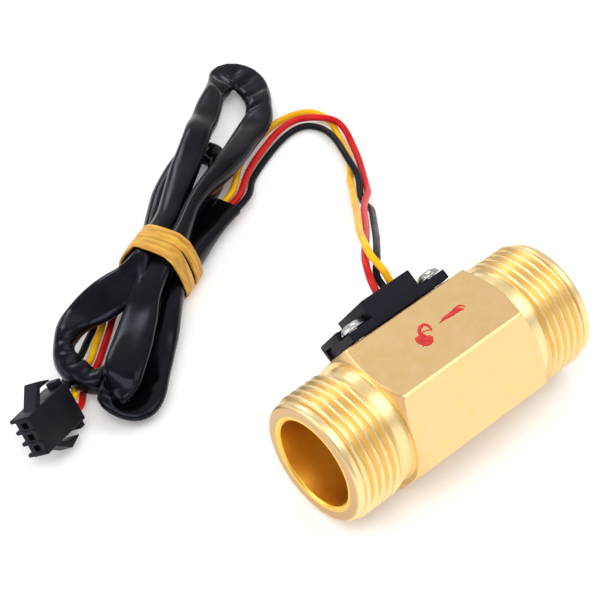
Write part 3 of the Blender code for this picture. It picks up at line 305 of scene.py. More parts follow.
# Zinc and tin are plated on: bright metal with a slight haze, and tin is the warmer one
PLATED_STEEL = moulded("zinc plated steel", ("#B9B8B6", "#CBCAC8"), 0.3, grain_mm=2,
                       depth=0.000005, strength=0.02, patch_mm=2, settings=METAL)
TINNED = moulded("tinned bronze", ("#C7C3B8", "#D8D4C9"), 0.3, patch_mm=2, settings=METAL)
# Dabbed on with a brush: half matt, and uneven
RED_PAINT = moulded("red inspection paint", ("#B71A14", "#D62E24"), 0.45, grain_mm=0.4, depth=0.00006,
                    strength=0.4, patch_mm=0.8)

# %% [markdown]
# ### Amber rubber
#
# Natural rubber is a little see-through, and a band is cut from a long tube, so its colour runs in streaks along its
# length. Here the streaks are a noise stretched across the hank: its coordinates are turned to the hank's direction
# and divided by eight in the other two.

# %% Rubber
BAND_TURN = math.radians(26)
STREAKS = 1500  # noise cells in a metre: streaks 0.7 mm wide, and eight times as long


def make_rubber():
    """A non-metal whose two shades and bump follow one stretched noise, with light that enters a little way."""
    rubber, shader, place = new_finish("amber rubber", {"Subsurface Weight": 0.25, "Subsurface Scale": 0.001})
    along = add_node(rubber, "Mapping", {"vector_type": "TEXTURE", "Rotation": (0, 0, BAND_TURN), "Scale": (1, 8, 8)},
                     {"Vector": place})
    streaks = add_node(rubber, "TexNoise", {"Scale": STREAKS, "Detail": 4}, {"Vector": (along, "Vector")})
    contrast = add_node(rubber, "MapRange", {"From Min": 0.35, "From Max": 0.65}, {"Value": (streaks, "Fac")})
    tint = add_node(rubber, "Mix", {"data_type": "RGBA", "A": linear("#B87C14"), "B": linear("#E6B442")},
                    {"Factor": (contrast, "Result")})
    satin = add_node(rubber, "MapRange", {"To Min": 0.4, "To Max": 0.55}, {"Value": (streaks, "Fac")})
    bump = add_node(rubber, "Bump", {"Strength": 0.5, "Distance": 0.0001}, {"Height": (streaks, "Fac")})
    link(rubber, shader, {"Base Color": (tint, 2), "Roughness": (satin, "Result"), "Normal": (bump, "Normal")})
    return rubber


BAND_RUBBER = make_rubber()

# %% [markdown]
# ## The cords
#
# A cord follows a smooth curve through points that were read off the object as it lies. The curve is a natural
# cubic: each span is a cubic whose slopes are chosen so that the bend never jumps. The sleeve and the wires come
# first, because everything else is laid beside them.

# %% Routes, in millimetres
SLEEVE_ROUTE = [
    (9.1, 70.8, 2.8), (2.4, 68.8, 3.0), (-3.5, 65.9, 3.3), (-9.2, 62.6, 3.8), (-13.8, 60.1, 3.8),
    (-19.3, 55.8, 3.3), (-24.5, 51.1, 2.9), (-29.8, 46.6, 2.8), (-33.5, 42.5, 2.8), (-36.8, 40.2, 2.9),
    (-40.2, 40.0, 2.9), (-43.0, 42.5, 3.4), (-43.5, 44.5, 5.0), (-41.8, 44.5, 7.6), (-38.3, 46.8, 8.6),
    (-33.4, 50.7, 8.4), (-28.1, 54.8, 8.3), (-22.5, 58.2, 8.6), (-17.6, 60.8, 9.0), (-12.4, 63.0, 9.3),
    (-6.5, 66.2, 9.0), (0.1, 70.6, 8.5), (5.9, 73.5, 8.4), (12.7, 76.7, 8.0), (18.0, 79.5, 7.3),
    (23.9, 83.2, 5.5), (27.8, 85.4, 4.6), (31.4, 87.6, 3.9), (34.1, 90.3, 3.5), (36.3, 93.8, 3.2),
    (37.3, 98.8, 3.0), (36.3, 102.5, 3.0), (33.1, 102.2, 3.3), (29.5, 100.1, 3.8), (24.6, 96.6, 4.9),
    (20.5, 92.9, 5.9), (17.5, 90.6, 7.3), (14.6, 88.1, 8.2), (11.1, 85.3, 8.0), (5.8, 81.3, 8.3),
    (-0.6, 77.0, 8.4), (-6.7, 72.8, 8.7), (-13.4, 68.9, 9.4), (-17.5, 66.7, 9.5), (-21.4, 65.2, 9.2),
    (-25.2, 64.4, 8.7), (-29.2, 64.3, 8.1), (-32.9, 64.4, 6.9), (-36.6, 64.1, 6.0), (-39.6, 62.9, 5.6),
    (-42.5, 60.7, 5.4), (-44.7, 57.6, 5.4), (-44.7, 54.0, 5.2), (-42.9, 50.7, 4.4), (-39.1, 50.3, 3.6),
    (-35.5, 52.3, 3.1), (-32.4, 54.6, 3.0), (-29.1, 57.1, 3.0), (-24.8, 59.7, 3.2), (-20.5, 62.2, 3.5),
    (-15.8, 65.1, 3.6), (-10.0, 68.5, 3.5), (-3.8, 71.8, 3.1), (1.8, 74.6, 2.9), (8.3, 77.1, 2.8),
    (12.3, 79.3, 2.8), (15.4, 81.8, 2.8), (17.0, 85.4, 2.8), (15.3, 88.2, 2.7), (10.9, 88.0, 2.8),
    (5.4, 85.8, 2.8), (-0.4, 82.2, 2.8), (-5.4, 78.3, 3.0), (-10.7, 74.9, 3.4), (-16.5, 71.2, 3.9),
    (-21.9, 68.2, 3.7), (-26.2, 65.9, 3.2),
]
WIRE_ROUTES = {
    "yellow": [
        (4.1, 18.0, 26.9), (4.3, 21.3, 27.8), (5.5, 24.0, 27.3), (7.7, 27.4, 25.5),
        (11.3, 32.3, 22.0), (16.3, 38.2, 17.4), (21.3, 44.1, 12.7), (26.3, 50.1, 8.4), (30.6, 55.2, 4.9),
        (33.6, 59.2, 2.5), (35.8, 61.5, 1.2), (38.2, 64.1, 0.9), (40.6, 67.9, 0.9), (43.0, 73.4, 0.9),
        (44.6, 77.1, 0.9), (44.8, 80.0, 0.9), (43.7, 82.8, 0.9), (40.8, 84.7, 0.9), (37.9, 85.4, 0.9),
        (33.9, 85.3, 1.0), (29.6, 84.2, 1.2), (24.1, 81.9, 1.8), (19.7, 79.5, 2.3), (15.4, 76.0, 2.7),
        (12.2, 73.7, 2.8),
    ],
    "red": [
        (1.1, 18.4, 26.2), (2.8, 21.3, 26.4), (4.9, 24.0, 25.4), (9.0, 28.2, 22.7),
        (14.2, 33.6, 18.7), (19.5, 39.4, 14.4), (24.4, 45.0, 10.2), (27.2, 47.8, 8.1), (29.9, 50.3, 6.3),
        (32.1, 52.1, 4.9), (33.8, 54.0, 3.6), (35.7, 56.5, 2.5), (38.2, 60.1, 1.5), (41.2, 64.8, 0.9),
        (43.4, 69.2, 0.9), (44.6, 72.4, 1.5), (44.6, 75.2, 2.5), (43.6, 78.0, 2.4), (41.7, 80.8, 1.9),
        (39.1, 82.2, 2.0), (36.1, 82.5, 2.1), (32.2, 81.9, 2.1), (26.5, 79.9, 2.1), (21.5, 77.6, 2.4),
        (16.5, 74.4, 2.7), (13.2, 72.1, 2.8),
    ],
    "black": [
        (3.1, 18.7, 25.4), (5.5, 21.3, 25.3), (8.1, 24.0, 24.1), (12.1, 28.3, 21.4),
        (17.0, 33.8, 17.1), (22.1, 39.7, 12.5), (26.3, 44.6, 8.8), (28.4, 47.6, 6.3), (29.5, 50.1, 4.8),
        (31.0, 53.0, 4.0), (33.9, 56.5, 3.2), (35.9, 59.3, 2.9), (37.9, 64.4, 2.8), (40.3, 70.4, 2.2),
        (41.5, 74.7, 1.5), (41.5, 77.6, 1.0), (39.9, 80.1, 0.9), (36.6, 81.0, 0.9), (33.1, 80.6, 0.9),
        (27.4, 78.8, 0.9), (21.9, 76.5, 0.9), (18.9, 74.7, 1.1), (16.1, 72.0, 2.0), (13.2, 70.2, 2.7),
    ],
}
TAIL_ROUTES = {
    "yellow": [
        (-29.3, 64.7, 2.7), (-32.0, 62.7, 2.1), (-35.7, 60.3, 1.2), (-38.5, 58.2, 0.9), (-42.5, 56.2, 0.9),
        (-45.0, 54.7, 1.3), (-46.9, 52.5, 2.2), (-48.4, 50.1, 4.2),
    ],
    "red": [
        (-28.2, 63.7, 1.5), (-30.6, 62.0, 0.9), (-35.3, 58.3, 0.9), (-39.0, 55.7, 0.9), (-43.0, 53.7, 0.9),
        (-45.7, 51.5, 1.2), (-47.9, 49.0, 2.2),
    ],
    "black": [
        (-30.2, 66.3, 2.3), (-32.9, 64.2, 1.4), (-35.9, 62.5, 0.9), (-39.6, 60.1, 1.0), (-44.1, 57.9, 1.4),
        (-46.5, 56.2, 1.8), (-48.4, 53.8, 3.3), (-48.6, 52.0, 5.6),
    ],
}

# %% Frames of the cover and the plug
FLAT_LEAN = math.radians(60)
FLAT_MIDDLE = Vector((0, math.sin(FLAT_LEAN), math.cos(FLAT_LEAN) + 1)) * AXIS_HEIGHT / 1000
SEAT = Matrix.Translation(FLAT_MIDDLE) @ Matrix.Rotation(-FLAT_LEAN, 4, "X")
PLUG_TURN = Euler([math.radians(angle) for angle in (54.8, 15.0, 21.9)])
PLUG = Matrix.Translation((-0.06444, 0.04652, 0.00682)) @ PLUG_TURN.to_matrix().to_4x4()
print("the cover's flat is centred at", [round(v * 1000, 2) for v in FLAT_MIDDLE], "mm")


# %% A smooth curve through points
PER_SPAN = 12  # points from one of the given points to the next


def smooth_route(points):
    """A natural cubic: slopes solve a tridiagonal system, with knots spaced by chord lengths to the power 0.75."""
    points = np.array(points, dtype=float)
    chords = np.linalg.norm(np.diff(points, axis=0), axis=1) ** 0.75
    count = len(points)
    system = np.zeros((count, count))
    sides = np.zeros((count, 3))
    system[0, :2] = (2, 1)
    sides[0] = 3 * (points[1] - points[0]) / chords[0]
    system[-1, -2:] = (1, 2)
    sides[-1] = 3 * (points[-1] - points[-2]) / chords[-1]
    before, after = 1 / chords[:-1], 1 / chords[1:]
    inner = np.arange(1, count - 1)
    system[inner, inner - 1] = before
    system[inner, inner] = 2 * (before + after)
    system[inner, inner + 1] = after
    steps = np.diff(points, axis=0)
    sides[1:-1] = 3 * (steps[:-1] * before[:, None] ** 2 + steps[1:] * after[:, None] ** 2)
    slopes = np.linalg.solve(system, sides)
    s = np.linspace(0, 1, PER_SPAN, endpoint=False)[None, :, None]
    start, end = points[:-1, None], points[1:, None]
    lead, trail = (slopes[:-1] * chords[:, None])[:, None], (slopes[1:] * chords[:, None])[:, None]
    spans = (2 * s**3 - 3 * s**2 + 1) * start + (s**3 - 2 * s**2 + s) * lead
    spans = spans + (3 * s**2 - 2 * s**3) * end + (s**3 - s**2) * trail
    return np.concatenate([spans.reshape(-1, 3), points[-1:]])


def reach_along(path):
    """Arc length from the start to each point: the running sum of the distances between neighbours."""
    return np.concatenate([[0], np.cumsum(np.linalg.norm(np.diff(path, axis=0), axis=1))])


def evenly(curve, spacing):
    """Points along a curve at equal steps of arc length, about the given spacing apart."""
    reach = reach_along(curve)
    marks = np.linspace(0, reach[-1], int(round(reach[-1] / spacing)) + 1)
    return np.stack([np.interp(marks, reach, curve[:, k]) for k in range(3)], axis=1)


def path_frames(path):
    """Side and lift along a path: side is level and square to the path, and lift is square to both."""
    tangent = np.gradient(path, axis=0)
    tangent /= np.linalg.norm(tangent, axis=1)[:, None]
    side = np.cross([0, 0, 1], tangent)
    side /= np.linalg.norm(side, axis=1)[:, None]
    return side, np.cross(tangent, side)


# %% A tube round a path
def tube_rings(path, half_width, half_height, sides):
    """Elliptical rings: path + side * a * cos(t) + lift * b * sin(t), with a and b given along the path."""
    side, lift = path_frames(path)
    t = np.linspace(0, math.tau, sides, endpoint=False)
    a = np.broadcast_to(half_width, (len(path),))[:, None, None]
    b = np.broadcast_to(half_height, (len(path),))[:, None, None]
    across = side[:, None] * np.cos(t)[None, :, None] * a
    return path[:, None] + across + lift[:, None] * np.sin(t)[None, :, None] * b


# %% [markdown]
# ### The sleeve
#
# The sleeve is a thin PVC tube, flattened by folding. The way round it stays the same, so where it is wider it is
# lower, and its upper wall sinks a little in the middle. At a fold the inner side has no room, and the wall buckles
# into creases that fan out from it. So each ring of the tube is an oval with a width of its own, and the creases are
# grooves taken off its height.

# %% Sleeve widths and creases, in millimetres
SLEEVE_HALF_WIDTHS = [
    3.4, 3.5, 2.8, 2.3, 2.0, 2.6, 2.7, 3.6, 3.4, 3.6, 4.4, 4.0, 3.4, 3.8, 4.1,
    4.1, 3.8, 3.2, 3.2, 2.9, 2.0, 1.8, 1.9, 2.5, 3.0, 3.2, 3.6, 3.2, 2.9, 3.3,
    4.3, 4.3, 3.2, 2.5, 3.0, 3.1, 3.1, 3.0, 3.0, 3.2, 2.8, 2.7, 2.5, 2.2, 3.0,
    4.4, 4.7, 4.5, 3.4, 2.6, 2.0, 2.6, 3.1, 2.5, 2.4, 2.1, 2.1, 2.1, 2.2, 2.2,
    2.2, 2.2, 2.3, 2.3, 2.3, 2.3, 2.2, 2.5, 3.2, 2.5, 2.3, 2.3, 2.0, 1.7, 1.9,
    2.1, 2.1,
]
SLEEVE_SHIFTS = [
    -0.5, -0.4, 0.0, 0.0, 0.0, -0.3, -0.1, -0.9, -1.5, -1.4, -1.1, -1.4, -0.4, -0.3, -0.3,
    -0.4, -0.3, 0.8, 1.3, 0.7, 0.7, 0.9, 0.6, -0.3, -0.7, -0.8, -0.9, -0.7, -0.4, -0.4,
    -1.2, -1.2, 0.8, 0.5, 0.7, 0.4, 0.4, 0.3, -0.0, -0.1, 0.4, 0.9, 0.7, 0.7, 0.7,
    0.9, 0.8, 0.4, -0.1, -0.4, -0.3, 0.3, 0.0, -0.7, -0.1, 0.0, 0.0, 0.0, 0.0, 0.0,
    0.0, 0.0, 0.0, 0.0, 0.0, 0.0, 0.0, 0.0, 0.0, 0.0, 0.0, 0.0, 0.1, 0.9, 0.6,
    0.1, 0.1,
]  # to the left of its way
SLEEVE_HALF_GIRTH = 5.1  # half width plus half height
FLATTEST, ROUNDEST = 1.5, 2.6  # the least and the most half height
# Each crease: its place as a number of route points, its lean, the side it starts from, its depth and its width
CREASES = [
    (7.6, 1.6, -1, 0.5, 1.6), (11.6, -1.4, -1, 0.45, 1.1), (13.2, -2.2, -1, 0.5, 0.9), (27.0, 2.6, 1, 0.5, 0.9),
    (28.6, 1.6, 1, 0.8, 0.8), (29.8, 0.9, 1, 1.1, 0.7), (30.9, -0.4, 1, 1.3, 0.8), (32.2, -1.6, 1, 0.9, 0.8),
    (33.3, -2.6, 1, 0.6, 0.9), (49.6, 1.4, 1, 0.6, 0.8), (50.6, 0.5, 1, 0.9, 0.7), (51.7, -0.4, 1, 1.0, 0.7),
    (52.9, -1.2, 1, 0.8, 0.9), (66.4, 0.6, 1, 0.5, 0.8), (67.6, -0.4, 1, 0.6, 0.8),
]
sleeve_curve = smooth_route(SLEEVE_ROUTE)
sleeve_path = evenly(sleeve_curve, 0.6)
point_reach = reach_along(sleeve_curve)[::PER_SPAN]
path_reach = np.linspace(0, point_reach[-1], len(sleeve_path))


def along_sleeve(values):
    """One value for each route point, spread over the path and softened by a moving mean with cosine weights."""
    spread = np.pad(np.interp(path_reach, point_reach, values), 4, mode="edge")
    return np.convolve(spread, np.hanning(11)[1:-1] / 5, "valid")


half_width, shift = along_sleeve(SLEEVE_HALF_WIDTHS), along_sleeve(SLEEVE_SHIFTS)
half_height = np.clip(SLEEVE_HALF_GIRTH - half_width, FLATTEST, ROUNDEST)


# %% Sleeve
def sleeve_section():
    """Oval rings: a cos(t) across and b sin(t) up, the middle sunk by (1 - cos^2)^2, less each crease's groove."""
    side, lift = path_frames(sleeve_path)
    roll = 0.11 * np.sin(path_reach / 8.5) + 0.07 * np.sin(path_reach / 3.7 + 1)
    turned_side = side * np.cos(roll)[:, None] + lift * np.sin(roll)[:, None]
    turned_lift = lift * np.cos(roll)[:, None] - side * np.sin(roll)[:, None]
    t = np.linspace(0, math.tau, 32, endpoint=False)
    across = np.sign(np.cos(t)) * np.abs(np.cos(t)) ** 0.92
    height = np.sign(np.sin(t)) * np.abs(np.sin(t)) ** 0.8
    dent = np.clip((half_width - 2.5) * 0.4, 0, 0.5)[:, None] * (1 - across**2) ** 2
    wide = shift[:, None] + half_width[:, None] * across
    high = half_height[:, None] * height - dent * np.sign(height)
    for number, lean, start, depth, width in CREASES:
        centre = np.interp(number, np.arange(len(SLEEVE_ROUTE)), point_reach)
        gap = (path_reach[:, None] - centre - lean * (1 - start * across)) / width
        groove = depth * np.exp(-gap**2) * np.clip((1 + start * across) * 0.6 + 0.1, 0, 1)
        high = high - groove * height
    return sleeve_path[:, None] + turned_side[:, None] * wide[..., None] + turned_lift[:, None] * high[..., None]


sleeve_rings = sleeve_section()
sleeve = make_piece("cable_sleeve", [grid_shell(sleeve_rings)], PVC_BLACK, sharp=60)

# %% [markdown]
# ### The wires
#
# Each wire is a copper strand in 1.5 mm of PVC. It leaves the slot in the cover, crosses to the sleeve's mouth and
# comes out of its other end to enter the plug, so one route before the sleeve and one after it share a colour.

# %% Wires
WIRE_RADIUS = 0.75
LEAD_X = {"red": 0.4, "black": 2.3, "yellow": 4.1}
MOUTH_ORDER = {"yellow": 1, "red": 0, "black": -1}
TAIL_ORDER = {"yellow": 0, "red": 1, "black": -1}
WAY_Y = {"black": 2.5, "yellow": 0, "red": -2.5}
LEAD_Y = -2.0
WIRE_PITCH = 1.74
PLUG_LEVEL = 3.4


def outward(last, before):
    """The unit direction in which the sleeve leaves off at an end."""
    return (last - before) / np.linalg.norm(last - before)


def across_end(out, order):
    """A step sideways from the middle of an end of the sleeve, one wire pitch for each place in the row."""
    side = np.cross([0, 0, 1], out)
    return side / np.linalg.norm(side) * WIRE_PITCH * order


def lay_wire(name, colour, points):
    """Rings of the wire's radius along a smooth line through the points."""
    path = evenly(smooth_route(points), 0.7)
    wire = make_piece(name, [grid_shell(tube_rings(path, WIRE_RADIUS, WIRE_RADIUS, 16))], WIRE_COLOURS[colour],
                      sharp=50)


mouth_out = outward(sleeve_path[0], sleeve_path[1])
for colour, middle in WIRE_ROUTES.items():
    start = placed(np.array([[LEAD_X[colour], LEAD_Y, height] for height in (1.6, 5.9)]), SEAT)
    stop = sleeve_path[0] + mouth_out * 0.5 + across_end(mouth_out, MOUTH_ORDER[colour])
    lay_wire(f"wire_{colour}", colour, [*start, *middle, stop])

end_out = outward(sleeve_path[-1], sleeve_path[-2])
for colour, middle in TAIL_ROUTES.items():
    start = sleeve_path[-1] + end_out * 0.5 + across_end(end_out, TAIL_ORDER[colour])
    stop = placed(np.array([[x, WAY_Y[colour], PLUG_LEVEL] for x in (14.6, 9.5)]), PLUG)
    lay_wire(f"tail_wire_{colour}", colour, [start, *middle, *stop])

# %% [markdown]
# ## The brass body
#
# The whole body is one surface. A closed line runs along the outside of the pipe and back through the bore, and it
# is carried round the axis. On the hexagon the distance from the axis changes on the way round, and on the thread it
# follows the helix, so each point of the line is a row of values, one for each angle. A lathe profile with Boolean
# cuts would give the same form, but its chamfers and the start of its thread would be much coarser.

# %% Body sizes, in millimetres
HEX_ACROSS = 27.0
CHAMFER_START, CHAMFER_SLOPE = 13.365, math.tan(math.radians(30))
NECK_RADIUS = 12.3
THREAD_START, THREAD_END, THREAD_PITCH = 19.3, 28.9, 1.814
CREST_RADIUS, ROOT_RADIUS = 13.22, 12.06
NOSE_RADIUS, NOSE_EDGE = 12.7, 0.9
CORNER_POWER = 220  # the higher it is, the sharper the hexagon's corners
turns = np.linspace(0, math.tau, 342, endpoint=False)
turns = turns - 0.6 * np.sin(6 * turns) / 6


# %% The hexagon and the thread as functions
def flat_distance(turn):
    """Distance to the hexagon: the two nearest flats, blended by a high power, which rounds the corner a little."""
    phase = (turn + math.pi / 6) % (math.pi / 3) - math.pi / 6
    near = np.cos(phase) / (HEX_ACROSS / 2)
    next_one = np.cos(math.pi / 3 - np.abs(phase)) / (HEX_ACROSS / 2)
    scale = near.max()
    return 1 / (scale * ((near / scale) ** CORNER_POWER + (next_one / scale) ** CORNER_POWER) ** (1 / CORNER_POWER))


def thread_radius(x, turn):
    """A rounded triangle wave of the distance along the pipe less the helix's lead, faded in and out at both ends."""
    phase = (x / THREAD_PITCH - turn / math.tau) % 1
    wave = 1 - np.abs(2 * phase - 1)
    tooth = np.clip(wave * 1.3 - 0.12, 0, 1)
    tooth = tooth * tooth * (3 - 2 * tooth) * 0.45 + tooth * 0.55
    root = ROOT_RADIUS + (NECK_RADIUS - ROOT_RADIUS) * np.clip((THREAD_START + 0.5 - np.abs(x)) / 0.5, 0, 1)
    crest = np.minimum(CREST_RADIUS, NOSE_RADIUS + (THREAD_END + 0.2 - np.abs(x)) * 1.0)
    crest = np.minimum(crest, NECK_RADIUS + np.maximum(np.abs(x) - THREAD_START, 0) * 1.1)
    return root + (np.maximum(crest, root) - root) * tooth


def outside_rows(end):
    """Rows (x, radius) from the hexagon's middle to one end face, where end is 1 or -1."""
    flat = flat_distance(turns)
    crease = HEX_END - (flat - CHAMFER_START) * CHAMFER_SLOPE
    one = np.ones_like(turns)
    neck = [(HEX_END + step, NECK_RADIUS + rise) for step, rise in (
        (-0.01, 1), (0, 0.9), (0, 0.6), (0, 0.3), (0.02, 0.12), (0.1, 0.03), (0.25, 0), (1, 0), (1.9, 0), (2.6, 0))]
    nose = [(THREAD_END + step, NOSE_RADIUS - fall) for step, fall in ((0.05, 0.2), (0.2, 0.04), (0.4, 0), (0.7, 0))]
    nose += [(PIPE_END - NOSE_EDGE * (1 - math.sin(a)), NOSE_RADIUS - NOSE_EDGE * (1 - math.cos(a)))
             for a in np.linspace(0, math.pi / 2, 8)]
    nose += [(PIPE_END - step, radius) for step, radius in (
        (0, 11.4), (0, 10.6), (0, 9.8), (0.02, 9.7), (0.2, 9.5), (0.38, 9.33), (0.5, BORE_RADIUS))]
    rows = [(crease * s, flat) for s in (0.0, 0.25, 0.5, 0.75, 0.9, 0.97)]
    rows += [(crease - 0.12, flat), (crease - 0.03, flat - 0.012), (crease + 0.02, flat - 0.055)]
    rows += [(crease + (HEX_END - crease) * s, flat + (CHAMFER_START - flat) * s) for s in (0.15, 0.4, 0.7, 0.95)]
    rows += [(one * x, one * radius) for x, radius in neck]
    rows += [(one * x, thread_radius(end * x, turns)) for x in np.arange(THREAD_START, THREAD_END, THREAD_PITCH / 14)]
    rows += [(one * x, one * radius) for x, radius in nose]
    return [(end * x, radius) for x, radius in rows]


# The bore from the outlet to the inlet, as x and how much wider it is there: a step that carries the support, then
# the groove of the retaining ring
BORE_STEPS = [
    (24, 0), (18, 0), (14.05, 0), (14.0, -0.05), (14.0, -0.75), (13.95, -0.8), (12.6, -0.8), (11.35, -0.8),
    (11.3, -0.75), (11.3, -0.05), (11.25, 0), (6, 0), (0, 0), (-6, 0), (-12.35, 0), (-12.4, 0.05), (-12.4, 0.7),
    (-14.0, 0.7), (-14.0, 0.05), (-14.05, 0), (-18, 0), (-24, 0),
]

# %% Brass body
bore_rows = [(np.full_like(turns, x), np.full_like(turns, BORE_RADIUS + wider)) for x, wider in BORE_STEPS]
rows = outside_rows(1) + bore_rows + outside_rows(-1)[::-1][:-1]
x, radius = (np.stack([row[k] for row in rows]) for k in range(2))
body_grid = np.stack([x, radius * np.sin(turns), AXIS_HEIGHT + radius * np.cos(turns)], axis=2)
make_piece("brass_body", [grid_shell(body_grid, wrap_rows=True)], BRASS, sharp=28)

# %% [markdown]
# ## The cover
#
# The cover is one moulding: two ears held by screws, and a taller block over the circuit. Moulded edges are never
# sharp, so each part is a slab whose outline shrinks along a quarter circle at its top and bottom.

# %% Outlines with rounded corners
def rounded_outline(corners, radii, steps=5):
    """Each corner of a polygon becomes an arc that touches both of its sides."""
    corners = np.array(corners, dtype=float)
    radii = np.broadcast_to(radii, (len(corners),))
    points = []
    for i, corner in enumerate(corners):
        back = corners[i - 1] - corner
        on = corners[(i + 1) % len(corners)] - corner
        back /= np.linalg.norm(back)
        on /= np.linalg.norm(on)
        half = math.acos(np.clip(back @ on, -1, 1)) / 2
        if radii[i] < 0.001:
            points.append(corner)
            continue
        reach = radii[i] / math.tan(half)
        middle = corner + (back + on) / np.linalg.norm(back + on) * radii[i] / math.sin(half)
        first = corner + back * reach - middle
        last = corner + on * reach - middle
        a0 = math.atan2(first[1], first[0])
        sweep = (math.atan2(last[1], last[0]) - a0 + math.pi) % math.tau - math.pi
        a = a0 + sweep * np.linspace(0, 1, steps + 1)
        points += [middle + radii[i] * np.array([math.cos(t), math.sin(t)]) for t in a]
    return np.array(points)


def rectangle(left, right, low, high, radii, steps=5):
    """A rounded outline from two pairs of sides."""
    return rounded_outline([[left, low], [right, low], [right, high], [left, high]], radii, steps)


def inset(outline, distance):
    """Moves each point inwards along the mean of its two edge normals, lengthened by the mitre."""
    forward = np.roll(outline, -1, axis=0) - outline
    forward /= np.linalg.norm(forward, axis=1)[:, None]
    backward = np.roll(forward, 1, axis=0)
    turned = forward + backward
    turned /= np.linalg.norm(turned, axis=1)[:, None]
    normal = np.stack([-turned[:, 1], turned[:, 0]], axis=1)
    mitre = np.maximum(np.einsum("ij,ij->i", turned, forward), 0.5)
    area = (outline[:, 0] * np.roll(outline[:, 1], -1) - outline[:, 1] * np.roll(outline[:, 0], -1)).sum()
    return outline + normal * math.copysign(distance, area) / mitre[:, None]


# %% Slabs with rounded edges
def slab(outline, low, high, edge, holes=(), hole_floor=0.0):
    """Rings of an outline that shrinks by a quarter circle at both faces; holes are wells cut into the upper face."""
    angles = np.linspace(0, math.pi / 2, 5)
    rings = [(inset(outline, edge * (1 - math.sin(a))), low + edge * (1 - math.cos(a))) for a in angles]
    rings += [(inset(outline, edge * (1 - math.sin(a))), high - edge * (1 - math.cos(a))) for a in angles[::-1]]
    grid = np.stack([np.column_stack([ring, np.full(len(ring), height)]) for ring, height in rings])
    count = len(outline)
    points = [grid.reshape(-1, 3)]
    faces = grid_faces(len(rings), count).tolist()
    faces.append(list(range(count))[::-1])
    top = [list(range((len(rings) - 1) * count, len(rings) * count))]
    loops = [[Vector((*p, 0)) for p in rings[-1][0]]]
    start = len(rings) * count
    for hole in holes:
        size = len(hole)
        points += [np.column_stack([hole, np.full(size, high)]), np.column_stack([hole, np.full(size, hole_floor)])]
        faces += (grid_faces(2, size)[:, ::-1] + start).tolist()
        faces.append(list(range(start + size, start + 2 * size)))
        top.append(list(range(start, start + size)))
        loops.append([Vector((*p, 0)) for p in hole])
        start += 2 * size
    if holes:
        order = [index for loop in top for index in loop]
        faces += [[order[k] for k in triangle] for triangle in tessellate_polygon(loops)]
    else:
        faces.append(top[0])
    return np.concatenate(points), faces


def carried(shell, way=1):
    """A slab that was drawn in (y, z) and is carried along X, or against it where way is -1."""
    points, faces = shell
    return np.column_stack([way * points[:, 2], points[:, 0], points[:, 1]]), faces


def shells_at(matrix, shells):
    """Shells worked out in a local frame, moved to the row frame and turned to face out."""
    return [facing_out(placed(points, matrix), faces) for points, faces in shells]


# %% Cover sizes, in millimetres
COVER_LEFT, COVER_RIGHT = -12.3, 12.6
COVER_NEAR, COVER_FAR = -6.9, 6.3
COVER_BASE = 0.3  # its underside, over the flat
LEFT_EAR, RIGHT_EAR, BLOCK_HEIGHT, BLOCK_HALF = 4.0, 2.7, 5.9, 6.2
SCREW_X, SCREW_Y = (-9.6, 10.2), -4.2
SEAT_RADIUS, SEAT_HEIGHT = 3.0, 2.2
END_WALL, RECESS_DEPTH = 1.05, 1.0
RECESS_SIDES, RECESS_RISE = (2.3, 5.3), (0.7, 2.7)
STEP_Y = -2.3  # where the left end rises from the screw's seat to the ear
EAR_FLOOR = 1.8
SLOT_RADIUS, SLOT_FLOOR = 1.1, 3.0


# %% The cover's outlines
def arc(x, y, radius, start, end, steps=12):
    """Points on a circle between two angles."""
    a = np.linspace(start, end, steps + 1)
    return np.column_stack([x + radius * np.cos(a), y + radius * np.sin(a)])


def ear_outline(left, right, screw_x):
    """The upper part of an ear seen from above: a rectangle with a round-ended notch open to the near side."""
    notch = [p for p in arc(screw_x, SCREW_Y, SEAT_RADIUS, math.pi, 0, 24).tolist()
             if left + 0.2 < p[0] < right - 0.2]
    return np.array([[left, notch[0][1]], *notch, [right, notch[-1][1]], [right, COVER_FAR], [left, COVER_FAR]])


def end_wall():
    """The left end, drawn in (y, z) and carried along X: low before the screw, high beyond, with a blind recess."""
    corners = [[COVER_NEAR, COVER_BASE], [COVER_FAR, COVER_BASE], [COVER_FAR, LEFT_EAR], [STEP_Y, LEFT_EAR],
               [STEP_Y, SEAT_HEIGHT], [COVER_NEAR, SEAT_HEIGHT]]
    outline = rounded_outline(corners, [0.1, 0.4, 0.7, 0.3, 0.1, 0.3])
    recess = rectangle(*RECESS_SIDES, *RECESS_RISE, 0.2)
    return carried(slab(outline, -COVER_LEFT - END_WALL, -COVER_LEFT, 0.22, [recess], -COVER_LEFT - RECESS_DEPTH), -1)


# %% Cover
# The base is a hair narrower than the block, so that no two walls lie in one plane
base = rectangle(COVER_LEFT + 0.5, COVER_RIGHT, COVER_NEAR + 0.04, COVER_FAR - 0.04, [0.1, 0.5, 0.5, 0.1])
block = rectangle(-BLOCK_HALF, BLOCK_HALF, COVER_NEAR, COVER_FAR, 0.35)
wire_slot = np.concatenate([arc(LEAD_X["yellow"], LEAD_Y, SLOT_RADIUS, -math.pi / 2, math.pi / 2),
                            arc(LEAD_X["red"], LEAD_Y, SLOT_RADIUS, math.pi / 2, math.pi * 3 / 2)])
left_ear = ear_outline(COVER_LEFT + END_WALL - 0.3, -BLOCK_HALF + 1, SCREW_X[0])
right_ear = ear_outline(BLOCK_HALF - 1, COVER_RIGHT, SCREW_X[1])
cover_shells = [slab(base, COVER_BASE, SEAT_HEIGHT, 0.12),
                slab(block, COVER_BASE + 0.01, BLOCK_HEIGHT, 0.25, [wire_slot], SLOT_FLOOR), end_wall(),
                slab(left_ear, EAR_FLOOR, LEFT_EAR, 0.2), slab(right_ear, EAR_FLOOR, RIGHT_EAR, 0.15)]
